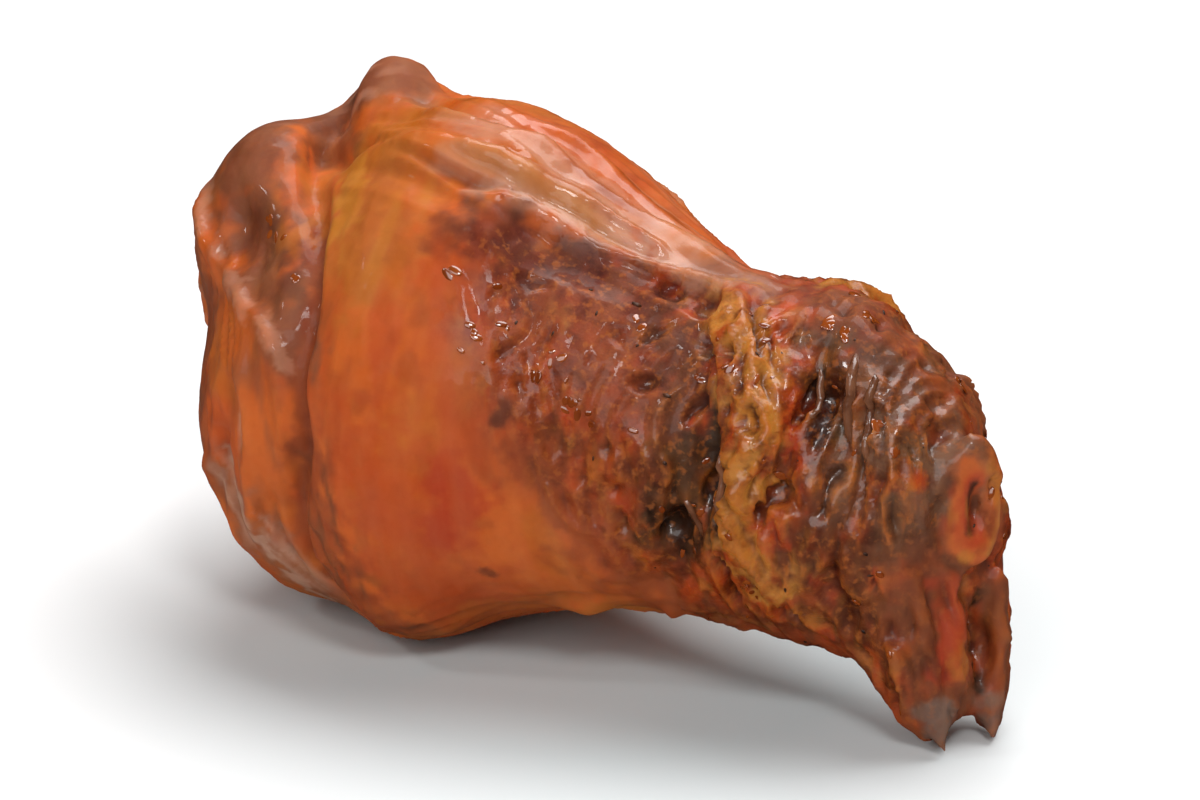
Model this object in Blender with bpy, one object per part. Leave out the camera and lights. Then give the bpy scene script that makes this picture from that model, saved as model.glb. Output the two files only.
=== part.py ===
"""A sauced chicken drumette, the upper joint of a wing, lying on its side.

The meat end is at -X and the elbow knuckle at +X, with the bone running along X between them.
The origin is on the resting surface, under the middle of the piece's box. Units are metres.
A place on the skin is given as (mm along the bone, degrees round it): 0 degrees faces -Y,
90 faces up and 180 faces +Y.
"""

import math

import bmesh
import bpy
from mathutils import Matrix, Vector, geometry, noise
from mathutils.bvhtree import BVHTree

MM = 0.001
RING_SIDES = 28
GRAIN = 1.9 * MM  # edge length of the finished solid's faces
SEAM_SMOOTHING = 5
FLAT_SPOT = 0.95 * MM  # how far the underside is pressed flat where it rests
LUMP_DEPTH = 0.9 * MM
LUMP_SIZE = 11 * MM
PIECE_REACH = 60 * MM  # further than any skin is from the bone

# The outline, in mm: place along the bone, height of the section's middle, half height, half depth.
SECTIONS = (
    (-33.0, 20.6, 8.0, 8.0),
    (-30.5, 21.0, 14.6, 13.6),
    (-25.0, 21.2, 20.2, 18.4),
    (-14.0, 23.2, 23.2, 20.6),
    (-4.0, 23.9, 21.0, 19.2),
    (4.0, 22.4, 17.0, 15.6),
    (12.0, 21.3, 15.0, 12.6),
    (20.0, 21.6, 15.2, 10.8),
    (26.0, 21.6, 15.2, 9.6),
    (31.5, 19.8, 12.8, 8.2),
    (35.0, 18.6, 9.0, 6.2),
    (36.4, 18.4, 4.6, 3.6),
)

# Lobes of meat, skin and gristle that stand out of the outline, in mm and degrees:
# name, middle, half sizes, turn about Y.
LOBES = (
    ("shoulder_knob", (-22.2, 3.0, 43.0), (5.0, 6.0, 4.8), 0),
    ("shoulder_cheek", (-28.2, -5.0, 33.8), (6.8, 8.0, 9.4), 10),
    ("shoulder_lip", (-31.6, -5.0, 31.4), (3.6, 6.0, 5.0), 0),
    ("shoulder_jowl", (-23.4, -7.0, 11.4), (6.2, 8.8, 9.6), 0),
    ("shoulder_joint", (-27.5, 6.5, 17.0), (6.6, 7.8, 7.4), 0),
    ("shoulder_back", (-26.0, 10.5, 26.0), (8.0, 8.6, 12.0), 0),
    ("breast_muscle", (-12.0, -5.0, 22.6), (14.0, 17.0, 21.6), 0),
    ("back_muscle", (-8.0, 9.0, 25.0), (15.0, 11.6, 14.6), 10),
    ("bone_end", (35.4, 0.7, 20.3), (2.6, 4.8, 5.0), 0),
    ("elbow_skin", (32.4, -3.4, 9.6), (4.2, 4.2, 8.2), -20),
    ("elbow_heel", (34.4, 3.4, 10.0), (3.2, 3.6, 8.4), -12),
)
# Points of skin that hang from the knuckle: name, root, tip, half thickness at the root.
TIPS = (
    ("front_tip", (33.4, -3.5, 7.0), (35.2, -4.0, 0.0), 2.6),
    ("end_tip", (36.0, 2.4, 8.0), (37.6, 1.2, -0.2), 2.4),
)
TIP_END = 0.9 * MM

# Folds in the skin: name, places that the fold runs over, half width and depth in mm.
# A depth below zero raises a ridge.
FOLDS = (
    ("shoulder_fold", ((-26, 95), (-19, 50), (-16, 28), (-15, 0), (-17, -22), (-15, -50)), 3.4, 1.7),
    ("skin_edge", ((-2, 78), (1, 46), (5, 20), (9, -10), (14, -45)), 3.2, 0.8),
    ("neck_groove", ((14, 66), (17, 28), (17, -10), (13, -42)), 2.8, 1.3),
    ("neck_ridge", ((16, 76), (20, 44), (21, 8), (23, -38)), 2.8, -1.1),
    ("elbow_hollow", ((24, 66), (27, 52), (29, 34)), 3.4, 1.7),
    ("bone_seat", ((35, 120), (36, 60), (35, 0), (35, -40)), 2.6, 0.8),
    ("top_pleat", ((-13, 74), (-4, 78), (6, 84), (14, 92)), 2.8, -1.0),
    ("top_crease", ((-8, 64), (1, 68), (9, 78)), 2.8, 1.0),
    ("joint_fold", ((-30, 150), (-24, 172), (-26, 205)), 3.4, 1.8),
    ("back_seam", ((-22, 116), (-8, 128), (5, 140), (16, 150)), 3.2, 1.5),
    ("under_seam", ((-18, 236), (-6, 222), (6, 214), (16, 205)), 3.4, 1.6),
    ("back_neck", ((12, 110), (16, 150), (15, 190), (12, 225)), 2.8, 1.2),
    ("back_ridge", ((20, 112), (21, 150), (22, 195)), 2.8, -0.9),
)


def clear_scene():
    for thing in list(bpy.data.objects):
        bpy.data.objects.remove(thing, do_unlink=True)


def cooked_skin():
    material = bpy.data.materials.new("glazed_skin")
    material.use_nodes = True
    shader = material.node_tree.nodes["Principled BSDF"]
    shader.inputs["Base Color"].default_value = (0.46, 0.09, 0.02, 1.0)
    shader.inputs["Roughness"].default_value = 0.3
    shader.inputs["Metallic"].default_value = 0.0
    return material


def add_ring(shape, place, middle, half_height, half_depth):
    """One cross-section of the outline, as a closed loop of edges."""
    made = bmesh.ops.create_circle(shape, segments=RING_SIDES, radius=1.0)
    size = Matrix.Diagonal((half_height * MM, half_depth * MM, 1.0, 1.0))
    stand = Matrix.Rotation(math.radians(-90), 4, "Y")
    move = Matrix.Translation((place * MM, 0.0, middle * MM))
    bmesh.ops.transform(shape, matrix=move @ stand @ size, verts=made["verts"])
    ring = set(made["verts"])
    return [edge for edge in shape.edges if ring.issuperset(edge.verts)]


def add_outline(shape):
    """The lofted body: rings bridged from the meat end to the knuckle, closed at both ends."""
    rings = [add_ring(shape, *section) for section in SECTIONS]
    for near, far in zip(rings, rings[1:]):
        bmesh.ops.bridge_loops(shape, edges=near + far)
    for end in (rings[0], rings[-1]):
        bmesh.ops.contextual_create(shape, geom=end)
    bmesh.ops.recalc_face_normals(shape, faces=shape.faces)


def add_lobe(shape, middle, half_sizes, turn):
    made = bmesh.ops.create_icosphere(shape, subdivisions=3, radius=1.0)
    size = Matrix.Diagonal((*[half * MM for half in half_sizes], 1.0))
    lean = Matrix.Rotation(math.radians(turn), 4, "Y")
    move = Matrix.Translation(Vector(middle) * MM)
    bmesh.ops.transform(shape, matrix=move @ lean @ size, verts=made["verts"])


def add_tip(shape, root, tip, thickness):
    """A cone of skin that narrows from its root down to its tip."""
    start, end = Vector(root) * MM, Vector(tip) * MM
    along = end - start
    made = bmesh.ops.create_cone(
        shape, cap_ends=True, segments=12, radius1=thickness * MM, radius2=TIP_END, depth=along.length
    )
    turn = along.to_track_quat("Z", "X").to_matrix().to_4x4()
    move = Matrix.Translation((start + end) / 2)
    bmesh.ops.transform(shape, matrix=move @ turn, verts=made["verts"])


def blocked_out():
    """The outline, lobes and tips as one object, still passing through each other."""
    shape = bmesh.new()
    add_outline(shape)
    for _, middle, half_sizes, turn in LOBES:
        add_lobe(shape, middle, half_sizes, turn)
    for _, root, tip, thickness in TIPS:
        add_tip(shape, root, tip, thickness)
    mesh = bpy.data.meshes.new("wing_blocks")
    shape.to_mesh(mesh)
    shape.free()
    blocks = bpy.data.objects.new("wing_blocks", mesh)
    bpy.context.scene.collection.objects.link(blocks)
    return blocks


def fused(blocks):
    """One closed skin round the blocks, with its seams smoothed."""
    fuse = blocks.modifiers.new("fuse", "REMESH")
    fuse.mode = "VOXEL"
    fuse.voxel_size = GRAIN
    relax = blocks.modifiers.new("relax", "SMOOTH")
    relax.factor = 0.5
    relax.iterations = SEAM_SMOOTHING
    graph = bpy.context.evaluated_depsgraph_get()
    mesh = bpy.data.meshes.new_from_object(blocks.evaluated_get(graph))
    bpy.data.objects.remove(blocks, do_unlink=True)
    return mesh


def bone_height(place):
    """Height in mm of the sections' middle at a place along the bone, also in mm."""
    places = [section[0] for section in SECTIONS]
    middles = [section[1] for section in SECTIONS]
    if place <= places[0]:
        return middles[0]
    for i in range(1, len(places)):
        if place <= places[i]:
            share = (place - places[i - 1]) / (places[i] - places[i - 1])
            return middles[i - 1] + share * (middles[i] - middles[i - 1])
    return middles[-1]


def on_skin(tree, place, degrees):
    """The point of the skin that a place names, found from outside towards the bone."""
    angle = math.radians(degrees)
    outwards = Vector((0.0, -math.cos(angle), math.sin(angle)))
    bone = Vector((place, 0.0, bone_height(place))) * MM
    hit = tree.ray_cast(bone + outwards * PIECE_REACH, -outwards)[0]
    return hit


def distance_to_path(point, path):
    nearest = PIECE_REACH
    for start, end in zip(path, path[1:]):
        foot, share = geometry.intersect_point_line(point, start, end)
        foot = start if share < 0 else end if share > 1 else foot
        nearest = min(nearest, (point - foot).length)
    return nearest


def press_folds(mesh):
    tree = BVHTree.FromPolygons(
        [v.co.copy() for v in mesh.vertices], [tuple(face.vertices) for face in mesh.polygons]
    )
    normals = [v.normal.copy() for v in mesh.vertices]
    starts = [v.co.copy() for v in mesh.vertices]
    for _, places, half_width, depth in FOLDS:
        path = [on_skin(tree, *place) for place in places]
        for vertex, start, normal in zip(mesh.vertices, starts, normals):
            away = distance_to_path(start, path) / (half_width * MM)
            if away < 1:
                vertex.co -= normal * (depth * MM * (1 - away * away) ** 2)
    mesh.update()


def raise_lumps(mesh):
    """The unevenness of cooked meat under the skin."""
    normals = [v.normal.copy() for v in mesh.vertices]
    for vertex, normal in zip(mesh.vertices, normals):
        vertex.co += normal * (noise.noise(vertex.co / LUMP_SIZE) * LUMP_DEPTH)
    mesh.update()


def set_down(mesh):
    """Presses the underside flat, and puts the origin under the middle of the box."""
    floor = min(v.co.z for v in mesh.vertices) + FLAT_SPOT
    middle = [(min(v.co[k] for v in mesh.vertices) + max(v.co[k] for v in mesh.vertices)) / 2 for k in (0, 1)]
    for vertex in mesh.vertices:
        vertex.co = (vertex.co.x - middle[0], vertex.co.y - middle[1], max(vertex.co.z - floor, 0.0))
    mesh.update()


def build_wing():
    mesh = fused(blocked_out())
    raise_lumps(mesh)
    press_folds(mesh)
    set_down(mesh)
    mesh.name = "wing"
    mesh.materials.clear()
    mesh.materials.append(cooked_skin())
    mesh.shade_smooth()
    wing = bpy.data.objects.new("wing", mesh)
    bpy.context.scene.collection.objects.link(wing)


clear_scene()
build_wing()
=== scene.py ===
"""A sauced chicken drumette and its studio, as a small add-on for the 3D view.

Lengths on the wing are in mm in the part's own frame: +X runs along the bone to the elbow knuckle,
-Y faces the viewer and +Z is up. A place on the skin is either (mm along the bone, degrees round
it), with 0 degrees towards -Y, 90 up and 180 towards +Y, or a point (x, y, z) that the skin is
nearest to.
"""

import math
import random

import bmesh
import bpy
import numpy as np
from bpy.props import FloatProperty, FloatVectorProperty, IntProperty, PointerProperty
from mathutils import Matrix, Vector, noise
from mathutils.bvhtree import BVHTree


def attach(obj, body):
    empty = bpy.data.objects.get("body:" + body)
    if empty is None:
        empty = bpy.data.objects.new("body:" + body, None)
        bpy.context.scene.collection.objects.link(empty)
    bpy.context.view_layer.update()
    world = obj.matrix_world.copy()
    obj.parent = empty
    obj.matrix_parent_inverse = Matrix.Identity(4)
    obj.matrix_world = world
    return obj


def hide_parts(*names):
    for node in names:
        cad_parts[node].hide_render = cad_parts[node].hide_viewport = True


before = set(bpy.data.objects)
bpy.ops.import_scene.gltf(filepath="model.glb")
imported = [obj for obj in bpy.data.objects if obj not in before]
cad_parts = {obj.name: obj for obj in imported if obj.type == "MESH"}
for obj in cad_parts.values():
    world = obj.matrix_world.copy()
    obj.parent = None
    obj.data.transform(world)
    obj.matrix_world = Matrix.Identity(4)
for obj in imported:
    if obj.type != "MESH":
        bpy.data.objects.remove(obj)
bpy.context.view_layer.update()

bl_info = {
    "name": "Sauced Drumette",
    "version": (1, 0, 0),
    "blender": (4, 5, 0),
    "location": "View3D > Sidebar > Drumette",
    "description": "Sculpts, sauces and lights a chicken drumette round its packed model",
    "category": "Add Mesh",
}

MM = 0.001
BODY = "root"
BONE_HEIGHT = 21.5  # mm, of the line that places on the skin are measured round
PIECE_REACH = 60.0  # mm, further than any skin is from the bone
WING_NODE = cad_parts["wing"]
ROUGH_GRAIN = 0.5  # mm, edge length while the big folds are pressed in
GRISTLE_GRAIN = 0.3  # mm, edge length of the shoulder's gristle
JOIN_ANGLE = 0.7  # radians, how far two triangles may differ and still become one face

# Seeds of the noise and of the random draws, so that every run gives the same wing
SEEDS = {
    "edge": 1, "wrinkles": 7, "swells": 8, "rag": 11, "bare": 13, "patches": 21, "clusters": 31,
    "bends": 40, "beads": 41, "specks": 57, "gristle": 61, "gristle_fine": 62, "sinews": 73,
}

AIM = (-0.00115, 0.00096, 0.0216)  # what the camera and the lights point at, in metres
CAMERA_DISTANCE = 0.5  # metres
CAMERA_FIELD = 0.0993  # metres, width that the camera takes in at the wing
FLOOR_FADE = (0.09, 0.3)  # metres from the middle, where the floor starts to fade and is gone
FLOOR_TONES = ((0.9, 0.903, 0.903), (0.92, 0.922, 0.922))
FLOOR_SHADOW = (0.022, 0.05)  # metres from the middle, where the painted shadow under the wing is full and where it is gone
# Painted shadow: the floor's colour under the wing is multiplied by this tone
FLOOR_SHADOW_TONE = (0.72, 0.79, 0.8)
FLOOR_DROP = 0.02  # mm, so that the floor and the wing's foot don't share a plane

# Soft lights: name, place and size in metres, watts
LIGHTS = (
    ("overhead", (0.03, 0.165, 0.47), (0.52, 0.34), 3.05),
    ("shoulder", (-0.26, -0.3, 0.36), (0.06, 0.06), 0.3),
    ("front", (0.08, -0.48, 0.27), (0.4, 0.34), 1.1),
    ("sparkle", (0.28, -0.29, 0.43), (0.12, 0.12), 0.95),
)

# The rolled edge of skin round the shoulder joint, where the wing was cut from the bird
END_RIM = (
    (-38, 7, 22), (-38, 5, 28), (-38, 0, 30.4), (-38, -5.4, 27.4), (-38, -7, 22),
    (-38, -4.6, 16.4), (-38, 0, 14), (-38, 5.4, 16), (-38, 7, 22),
)

# -------------------------------------------------------------------------------------------------
# Folds: name, section, places, half width, height in mm (below zero goes in)
# -------------------------------------------------------------------------------------------------
LIP_DROP = 0.28  # how steep the far side of a lip is, as a share of its half width
END_FADE = 4.0  # mm, over which a stroke sinks in and comes out at its ends
BLUNT_END = 0.15  # how much of a stroke is left at its very end
FOLDS = (
    ("shoulder_crease", "crease",
     ((-27, 96), (-25, 74), (-21, 54), (-18, 34), (-17.5, 11), (-17, -2), (-19, -22), (-18, -44)),
     2.2, -1.5),
    ("band_edge", "lip", ((-23, 72), (-18, 52), (-15.5, 30), (-15, 5), (-16, -20), (-16, -40)),
     2.6, 0.45),
    ("cap_fold", "lip", ((-35, 66), (-33, 52), (-30, 42), (-26, 32), (-21, 24), (-19, 14)),
     3.0, 1.0),
    ("cap_fold_hollow", "groove", ((-32, 58), (-27, 48), (-22, 40)), 3.4, -1.0),
    ("cap_rib", "ridge", ((-24, 24), (-23, 6), (-22.5, -8), (-24, -26), (-25, -40)), 1.5, 0.75),
    ("cap_rib_hollow", "crease", ((-26, 18), (-25.5, 0), (-27, -24)), 1.7, -0.9),
    ("cap_low_rib", "ridge", ((-29, -10), (-29, -30), (-26, -50)), 1.8, 0.7),
    ("cap_low_crease", "crease", ((-21, -16), (-21.5, -34), (-20, -52)), 1.6, -0.8),
    ("knob_crease", "crease", ((-29, 84), (-26, 80), (-22.5, 76), (-19, 80)), 1.8, -1.1),
    ("knob_back_crease", "crease", ((-26, 108), (-21, 108), (-17, 100)), 1.9, -1.1),
    ("patch_fold", "lip", ((-9, 66), (-4, 72), (2, 76), (8, 82), (13, 86)), 3.2, 1.25),
    ("patch_hollow", "groove", ((-3, 60), (1, 66), (7, 70)), 2.6, -0.9),
    ("slope_fold", "lip", ((-18, 86), (-10, 85), (-2, 89), (6, 95), (13, 100)), 3.6, 1.0),
    ("slope_fold_low", "lip", ((-15, 74), (-8, 76), (0, 82), (9, 90)), 3.0, 0.9),
    ("slope_fold_top", "lip", ((-16, 98), (-6, 97), (4, 102), (12, 107)), 3.2, 0.7),
    ("neck_pit", "groove", ((16, 30), (16.4, 22), (17, 8), (17, -14)), 2.0, -1.9),
    ("neck_cave", "groove", ((12.6, -18), (14, -26)), 2.9, -2.0),
    ("ochre_ridge", "ridge",
     ((14.5, 76), (16.5, 62), (19, 46), (20.5, 30), (19.5, 4), (18.6, -21), (22, -38)), 2.4, 0.6),
    ("ridge_gap", "crease", ((21.5, 60), (22.6, 40), (23, 20), (21, -8), (21, -26)), 1.7, -1.3),
    ("elbow_hollow", "groove", ((24, 66), (24.6, 56), (24.4, 46)), 2.9, -1.9),
    ("elbow_bump", "ridge", ((23, 80), (26, 84), (29, 80)), 2.4, 0.8),
    ("elbow_strap", "ridge", ((29, 70), (30, 50), (31, 22), (31, -4)), 2.2, 0.8),
    ("strap_gap", "crease", ((27, 44), (28.4, 22), (28, 0), (27, -22)), 1.7, -1.2),
    ("ring_slit", "groove", ((36.6, -1.9, 23.4), (36.8, -1.8, 21.2), (36.6, -1.9, 19.0)),
     0.7, -1.6),
    ("ring_groove", "crease",
     ((35, -4.2, 24), (34.6, -4.4, 21), (35, -4.0, 17.6), (36, -1.6, 15.4), (36.6, 1.6, 17)),
     1.2, -0.8),
    ("flap_crack", "crease", ((35.6, 0.8, 12.4), (35.6, 1.0, 8.4), (36.0, 0.4, 4.4)), 1.4, -2.4),
    ("flap_fold", "crease", ((32.4, -5.4, 16.6), (32.8, -5.2, 12.0), (33.6, -4.6, 7.0)), 1.3, -0.8),
    ("flap_roll", "ridge", ((34.2, -3.6, 14.0), (34.8, -3.0, 9.0), (35.0, -2.8, 4.6)), 1.3, 0.6),
    ("belly_drip", "ridge", ((0, -64), (3, -63), (6, -65)), 2.2, 1.1),
    ("belly_drop", "ridge", ((9.5, -68), (11, -68)), 1.5, 0.7),
    ("joint_crease", "crease", ((-31, 152), (-26, 166), (-25, 186), (-28, 206)), 2.6, -1.6),
    ("joint_lip", "lip", ((-33, 140), (-28, 158), (-27, 180), (-30, 200)), 3.0, 0.8),
    ("end_rim", "ridge", END_RIM, 2.6, 1.2),
    ("end_hollow", "groove", ((-38, -1.6, 21), (-38, 1.6, 23)), 7.0, -3.4),
    ("end_pucker", "crease", ((-37, 7, 27), (-35, 11, 31), (-31, 15, 34)), 1.8, -1.1),
    ("end_pucker_low", "crease", ((-37, 6, 16), (-35, 9, 11), (-32, 12, 7)), 1.8, -1.0),
    ("end_pucker_front", "crease", ((-37, -7, 17), (-35, -11, 13), (-32, -14, 10)), 1.8, -0.9),
    ("end_pucker_top", "crease", ((-37, -2, 30), (-36, -4, 34), (-34, -6, 38)), 1.6, -0.8),
    ("back_crease", "crease", ((-20, 114), (-12, 122), (-2, 132), (8, 142), (16, 146)), 2.2, -1.3),
    ("back_pleat", "lip", ((-18, 130), (-8, 138), (4, 148), (14, 156)), 3.0, 0.8),
    ("back_pleat_low", "lip", ((-16, 168), (-4, 170), (8, 174), (16, 178)), 3.2, 0.8),
    ("under_crease", "crease", ((-17, 238), (-6, 222), (6, 212), (16, 204)), 2.2, -1.2),
    ("back_neck_pit", "groove", ((15, 160), (16, 176)), 2.3, -1.5),
    ("back_neck_cave", "groove", ((19, 206), (21, 220)), 2.5, -1.6),
    ("back_strap", "ridge", ((20, 112), (21.6, 138), (22, 168), (21, 198)), 2.2, 1.0),
    ("back_strap_gap", "crease", ((24, 116), (25, 146), (25, 180), (24, 205)), 1.8, -1.2),
    ("back_elbow", "ridge", ((28, 120), (30, 150), (30, 180)), 2.4, 0.8),
)

# -------------------------------------------------------------------------------------------------
# Grain: name, places, half width, relief, spacing across and length along the stroke, all in mm
# -------------------------------------------------------------------------------------------------
GRAIN_SHARPNESS = 3.2
GRAIN_LAYER = 3.7  # how far apart the strokes read the noise
GRAIN = (
    ("slope_pleats", ((-22, 84), (-14, 80), (-6, 80), (2, 86), (10, 92), (18, 95)),
     10.0, 0.46, 3.0, 18.0),
    ("slope_lines", ((-22, 84), (-14, 80), (-6, 80), (2, 86), (10, 92), (18, 95)),
     9.0, 0.24, 1.5, 12.0),
    ("cap_wrinkles", ((-32, 60), (-29, 40), (-26, 16), (-25, -10), (-26, -40)),
     8.0, 0.34, 1.5, 7.0),
    ("foot_wrinkles", ((-17, -14), (-16, -30), (-14, -46), (-12, -60)), 4.0, 0.26, 1.1, 3.0),
    ("band_wrinkles", ((-14, 66), (-12, 40), (-11, 10), (-11, -20), (-10, -55)),
     6.0, 0.1, 1.7, 9.0),
    ("band_border", ((-6, 60), (-1, 40), (2, 16), (5, -14), (10, -50)), 4.5, 0.26, 1.3, 5.0),
    ("ridge_fibres", ((14.5, 76), (19, 46), (20.5, 30), (19, 0), (22, -38)), 4.0, 0.75, 1.0, 4.5),
    ("strap_fibres", ((29, 76), (30, 50), (31, 22), (31, -30)), 4.6, 0.42, 1.0, 4.4),
    ("flap_fibres", ((33, -4.4, 16), (34, -4, 10), (35, -3, 2)), 5.0, 0.3, 0.9, 4.0),
    ("heel_fibres", ((36, 3, 14), (36.4, 3, 8), (36, 2, 1)), 4.4, 0.3, 0.9, 4.0),
    ("back_pleats", ((-22, 120), (-10, 132), (4, 146), (16, 156)), 9.0, 0.45, 1.6, 10.0),
    ("back_wrinkles", ((-24, 170), (-10, 176), (4, 180), (16, 184)), 9.0, 0.28, 1.8, 8.0),
    ("under_wrinkles", ((-20, 232), (-8, 224), (4, 214), (16, 206)), 8.0, 0.3, 1.7, 8.0),
    ("shoulder_wrinkles", ((-32, 110), (-30, 140), (-29, 170), (-30, 210)), 9.0, 0.26, 2.0, 7.0),
    ("back_fibres", ((21, 112), (22, 140), (22, 170), (21, 210)), 5.0, 0.5, 1.0, 5.0),
    ("end_fibres", ((-38, -4, 18), (-38, 0, 22), (-38, 4, 27)), 7.0, 0.6, 1.1, 4.0),
    ("end_wrinkles", END_RIM, 6.0, 0.4, 2.2, 3.0),
    ("back_elbow_fibres", ((30, 110), (31, 140), (31, 180), (30, 215)), 4.6, 0.42, 1.0, 4.6),
    ("belly_wrinkles", ((-16, -60), (-4, -70), (8, -80), (18, -88)), 8.0, 0.22, 1.6, 8.0),
)

# Relief of torn meat: name, form, size of its lumps in mm on each axis, relief in mm, detail
MEAT_SEED = 2  # the first row's seed, and each row after it has the next
MEAT_BENDS = (5.0, 1.6)  # mm, how long the bends of the fibres are and how far they swing
MEAT_DEEPENS = (2.0, 14.0)  # mm along the bone, where the relief starts to deepen and is full
MEAT_LEAST = 0.4  # share of the relief before that
RIDGE_SHARPNESS = 3.0
PIT_EDGE = (0.24, 0.5)  # noise where a pit starts and is full
MEAT = (
    ("folds", "lumps", (3.4, 8.0, 8.0), 0.62, 1),
    ("strings", "ridges", (1.7, 6.5, 6.5), 0.28, 1),
    ("threads", "ridges", (0.85, 3.2, 3.2), 0.16, 0),
    ("crumbs", "grit", (0.8, 1.0, 1.0), 0.12, 1),
    ("pits", "pits", (1.8, 3.2, 3.2), -0.9, 1),
)

# Relief of whole skin: size of its lumps in mm on each axis, relief in mm
SKIN_SWELLS = ((6.0, 7.0, 7.0), 0.25)
SKIN_WRINKLES = ((1.6, 2.6, 2.6), 0.12)

# Where the whole skin ends and torn meat starts: (degrees round the bone, mm along it)
SKIN_EDGE = (
    (-90, 12), (-52, 11), (-13, 5), (20, 0), (44, -4), (60, -5), (70, 0), (82, 9), (95, 15),
    (130, 14), (160, 12), (190, 13), (225, 10), (270, 12),
)
EDGE_RAG = 2.0  # mm, how far the edge wanders
EDGE_RAG_SIZE = 3.5  # mm, size of its rags
EDGE_SOFTNESS = 3.4  # mm, over which skin turns to meat on either side of the edge

# Pieces of smoother skin over the torn meat: name, places, half width in mm, how much they cover
SOFT_CORE = 0.4  # share of a soft stroke's half width that it covers fully
SMOOTH_SKIN = (
    ("flap", ((33, -4.4, 16), (34, -4, 10), (35, -3, 3)), 5.0, 0.75),
    ("heel", ((36, 3, 12), (36.4, 2.6, 6), (36, 2, 2)), 4.0, 0.75),
    ("ring",
     ((36, -2.2, 24.0), (36, -2.6, 20.8), (36, -2.0, 17.6), (36.6, 0.8, 18), (36.8, 1.0, 21)),
     2.6, 0.85),
    ("neck_top", ((12, 94), (18, 93), (24, 92), (30, 92), (34, 90)), 5.0, 0.35),
    ("neck_underside", ((12, -70), (18, -76), (25, -80), (30, -84)), 6.0, 0.45),
    ("back_elbow_skin", ((26, 140), (32, 160), (30, 200)), 6.0, 0.7),
)

# How wet the skin is, from 0 to 1: name, places, half width in mm, wetness
DRY_SKIN = 0.3  # whole skin
WET_MEAT = 0.95  # torn meat
WET = (
    ("slope", ((-14, 86), (-6, 84), (2, 88), (11, 93)), 8.0, 0.78),
    ("cap", ((-31, 62), (-28, 48), (-22, 34)), 6.0, 0.5),
    ("cap_top", ((-33, 76), (-29, 86), (-25, 82)), 4.5, 0.12),
    ("knob", ((-26, 2, 44), (-22, 3, 46)), 5.0, 0.05),
    ("band", ((-11, 60), (-10, 30), (-9, 0)), 8.0, 0.08),
    ("patch", ((-6, 58), (0, 60), (8, 62)), 4.5, 0.04),
    ("meat_face", ((2, 50), (8, 44), (13, 40)), 6.0, 0.34),
    ("neck_top", ((12, 84), (18, 90), (26, 92)), 5.0, 0.3),
    ("back", ((-12, 126), (0, 138), (10, 148)), 9.0, 0.6),
)

# Strings of sinew: places along them, radius in mm
SINEW_SIDES = 8
SINEW_STEP = 0.8  # mm between the rings that a sinew is made of
SINEWS = (
    (((25.8, 74), (26.4, 62), (26.6, 50), (27.2, 38)), 0.5),
    (((27.6, 72), (27.8, 58), (28.4, 44), (28.6, 32)), 0.4),
    (((22.9, 68), (23.4, 56), (23.6, 45)), 0.34),
    (((17.6, 18), (17.9, 5), (17.7, -8)), 0.34),
    (((14.2, -8), (14.6, -18), (15.2, -28)), 0.32),
)

# Beads of sauce spread over the meat, in mm. Length and height are shares of the half size.
BEAD_GAP = 0.7
BEAD_CLUSTERS = 4.0  # size of the wetter places that beads keep to
BEAD_CLUSTER_EDGE = (0.05, 0.4)
BEAD_SIZE, BEAD_SHRINK = (0.15, 0.4), (0.6, 1.0)
BEAD_LENGTH, BEAD_HEIGHT = (1.2, 2.2), (0.22, 0.36)

# Larger beads of sauce: place, and how many stand close together there
GLINT_SPREAD = 0.6
GLINT_SIZE, GLINT_LENGTH, GLINT_HEIGHT = (0.2, 0.4), (1.2, 2.0), 0.32
GLINT_SUNK = 0.12
GLINTS = (
    ((-6, 48), 2), ((-3, 36), 3), ((-1, 40), 2), ((3, 36), 3), ((2, 29), 3), ((5, 23), 4),
    ((6, 21), 3), ((8, 56), 2), ((14, 48), 3), ((17, 52), 2), ((17, 78), 2), ((23, 80), 6),
    ((24.5, 77), 4), ((25, 92), 4), ((29, 53), 3), ((31, 41), 3), ((20, -42), 4), ((15, -14), 3),
    ((-26, 52), 3), ((-24, 50), 2), ((-21, 40), 2), ((12, 130), 3), ((20, 150), 4), ((27, 160), 4),
    ((16, 200), 3), ((31, 120), 3), ((8, 150), 2),
)

# Specks of pepper and char, given as the beads are
SPECK_GAP = 1.6
SPECK_SIZE, SPECK_LENGTH, SPECK_HEIGHT = (0.08, 0.2), (1.0, 2.6), 0.35

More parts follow.
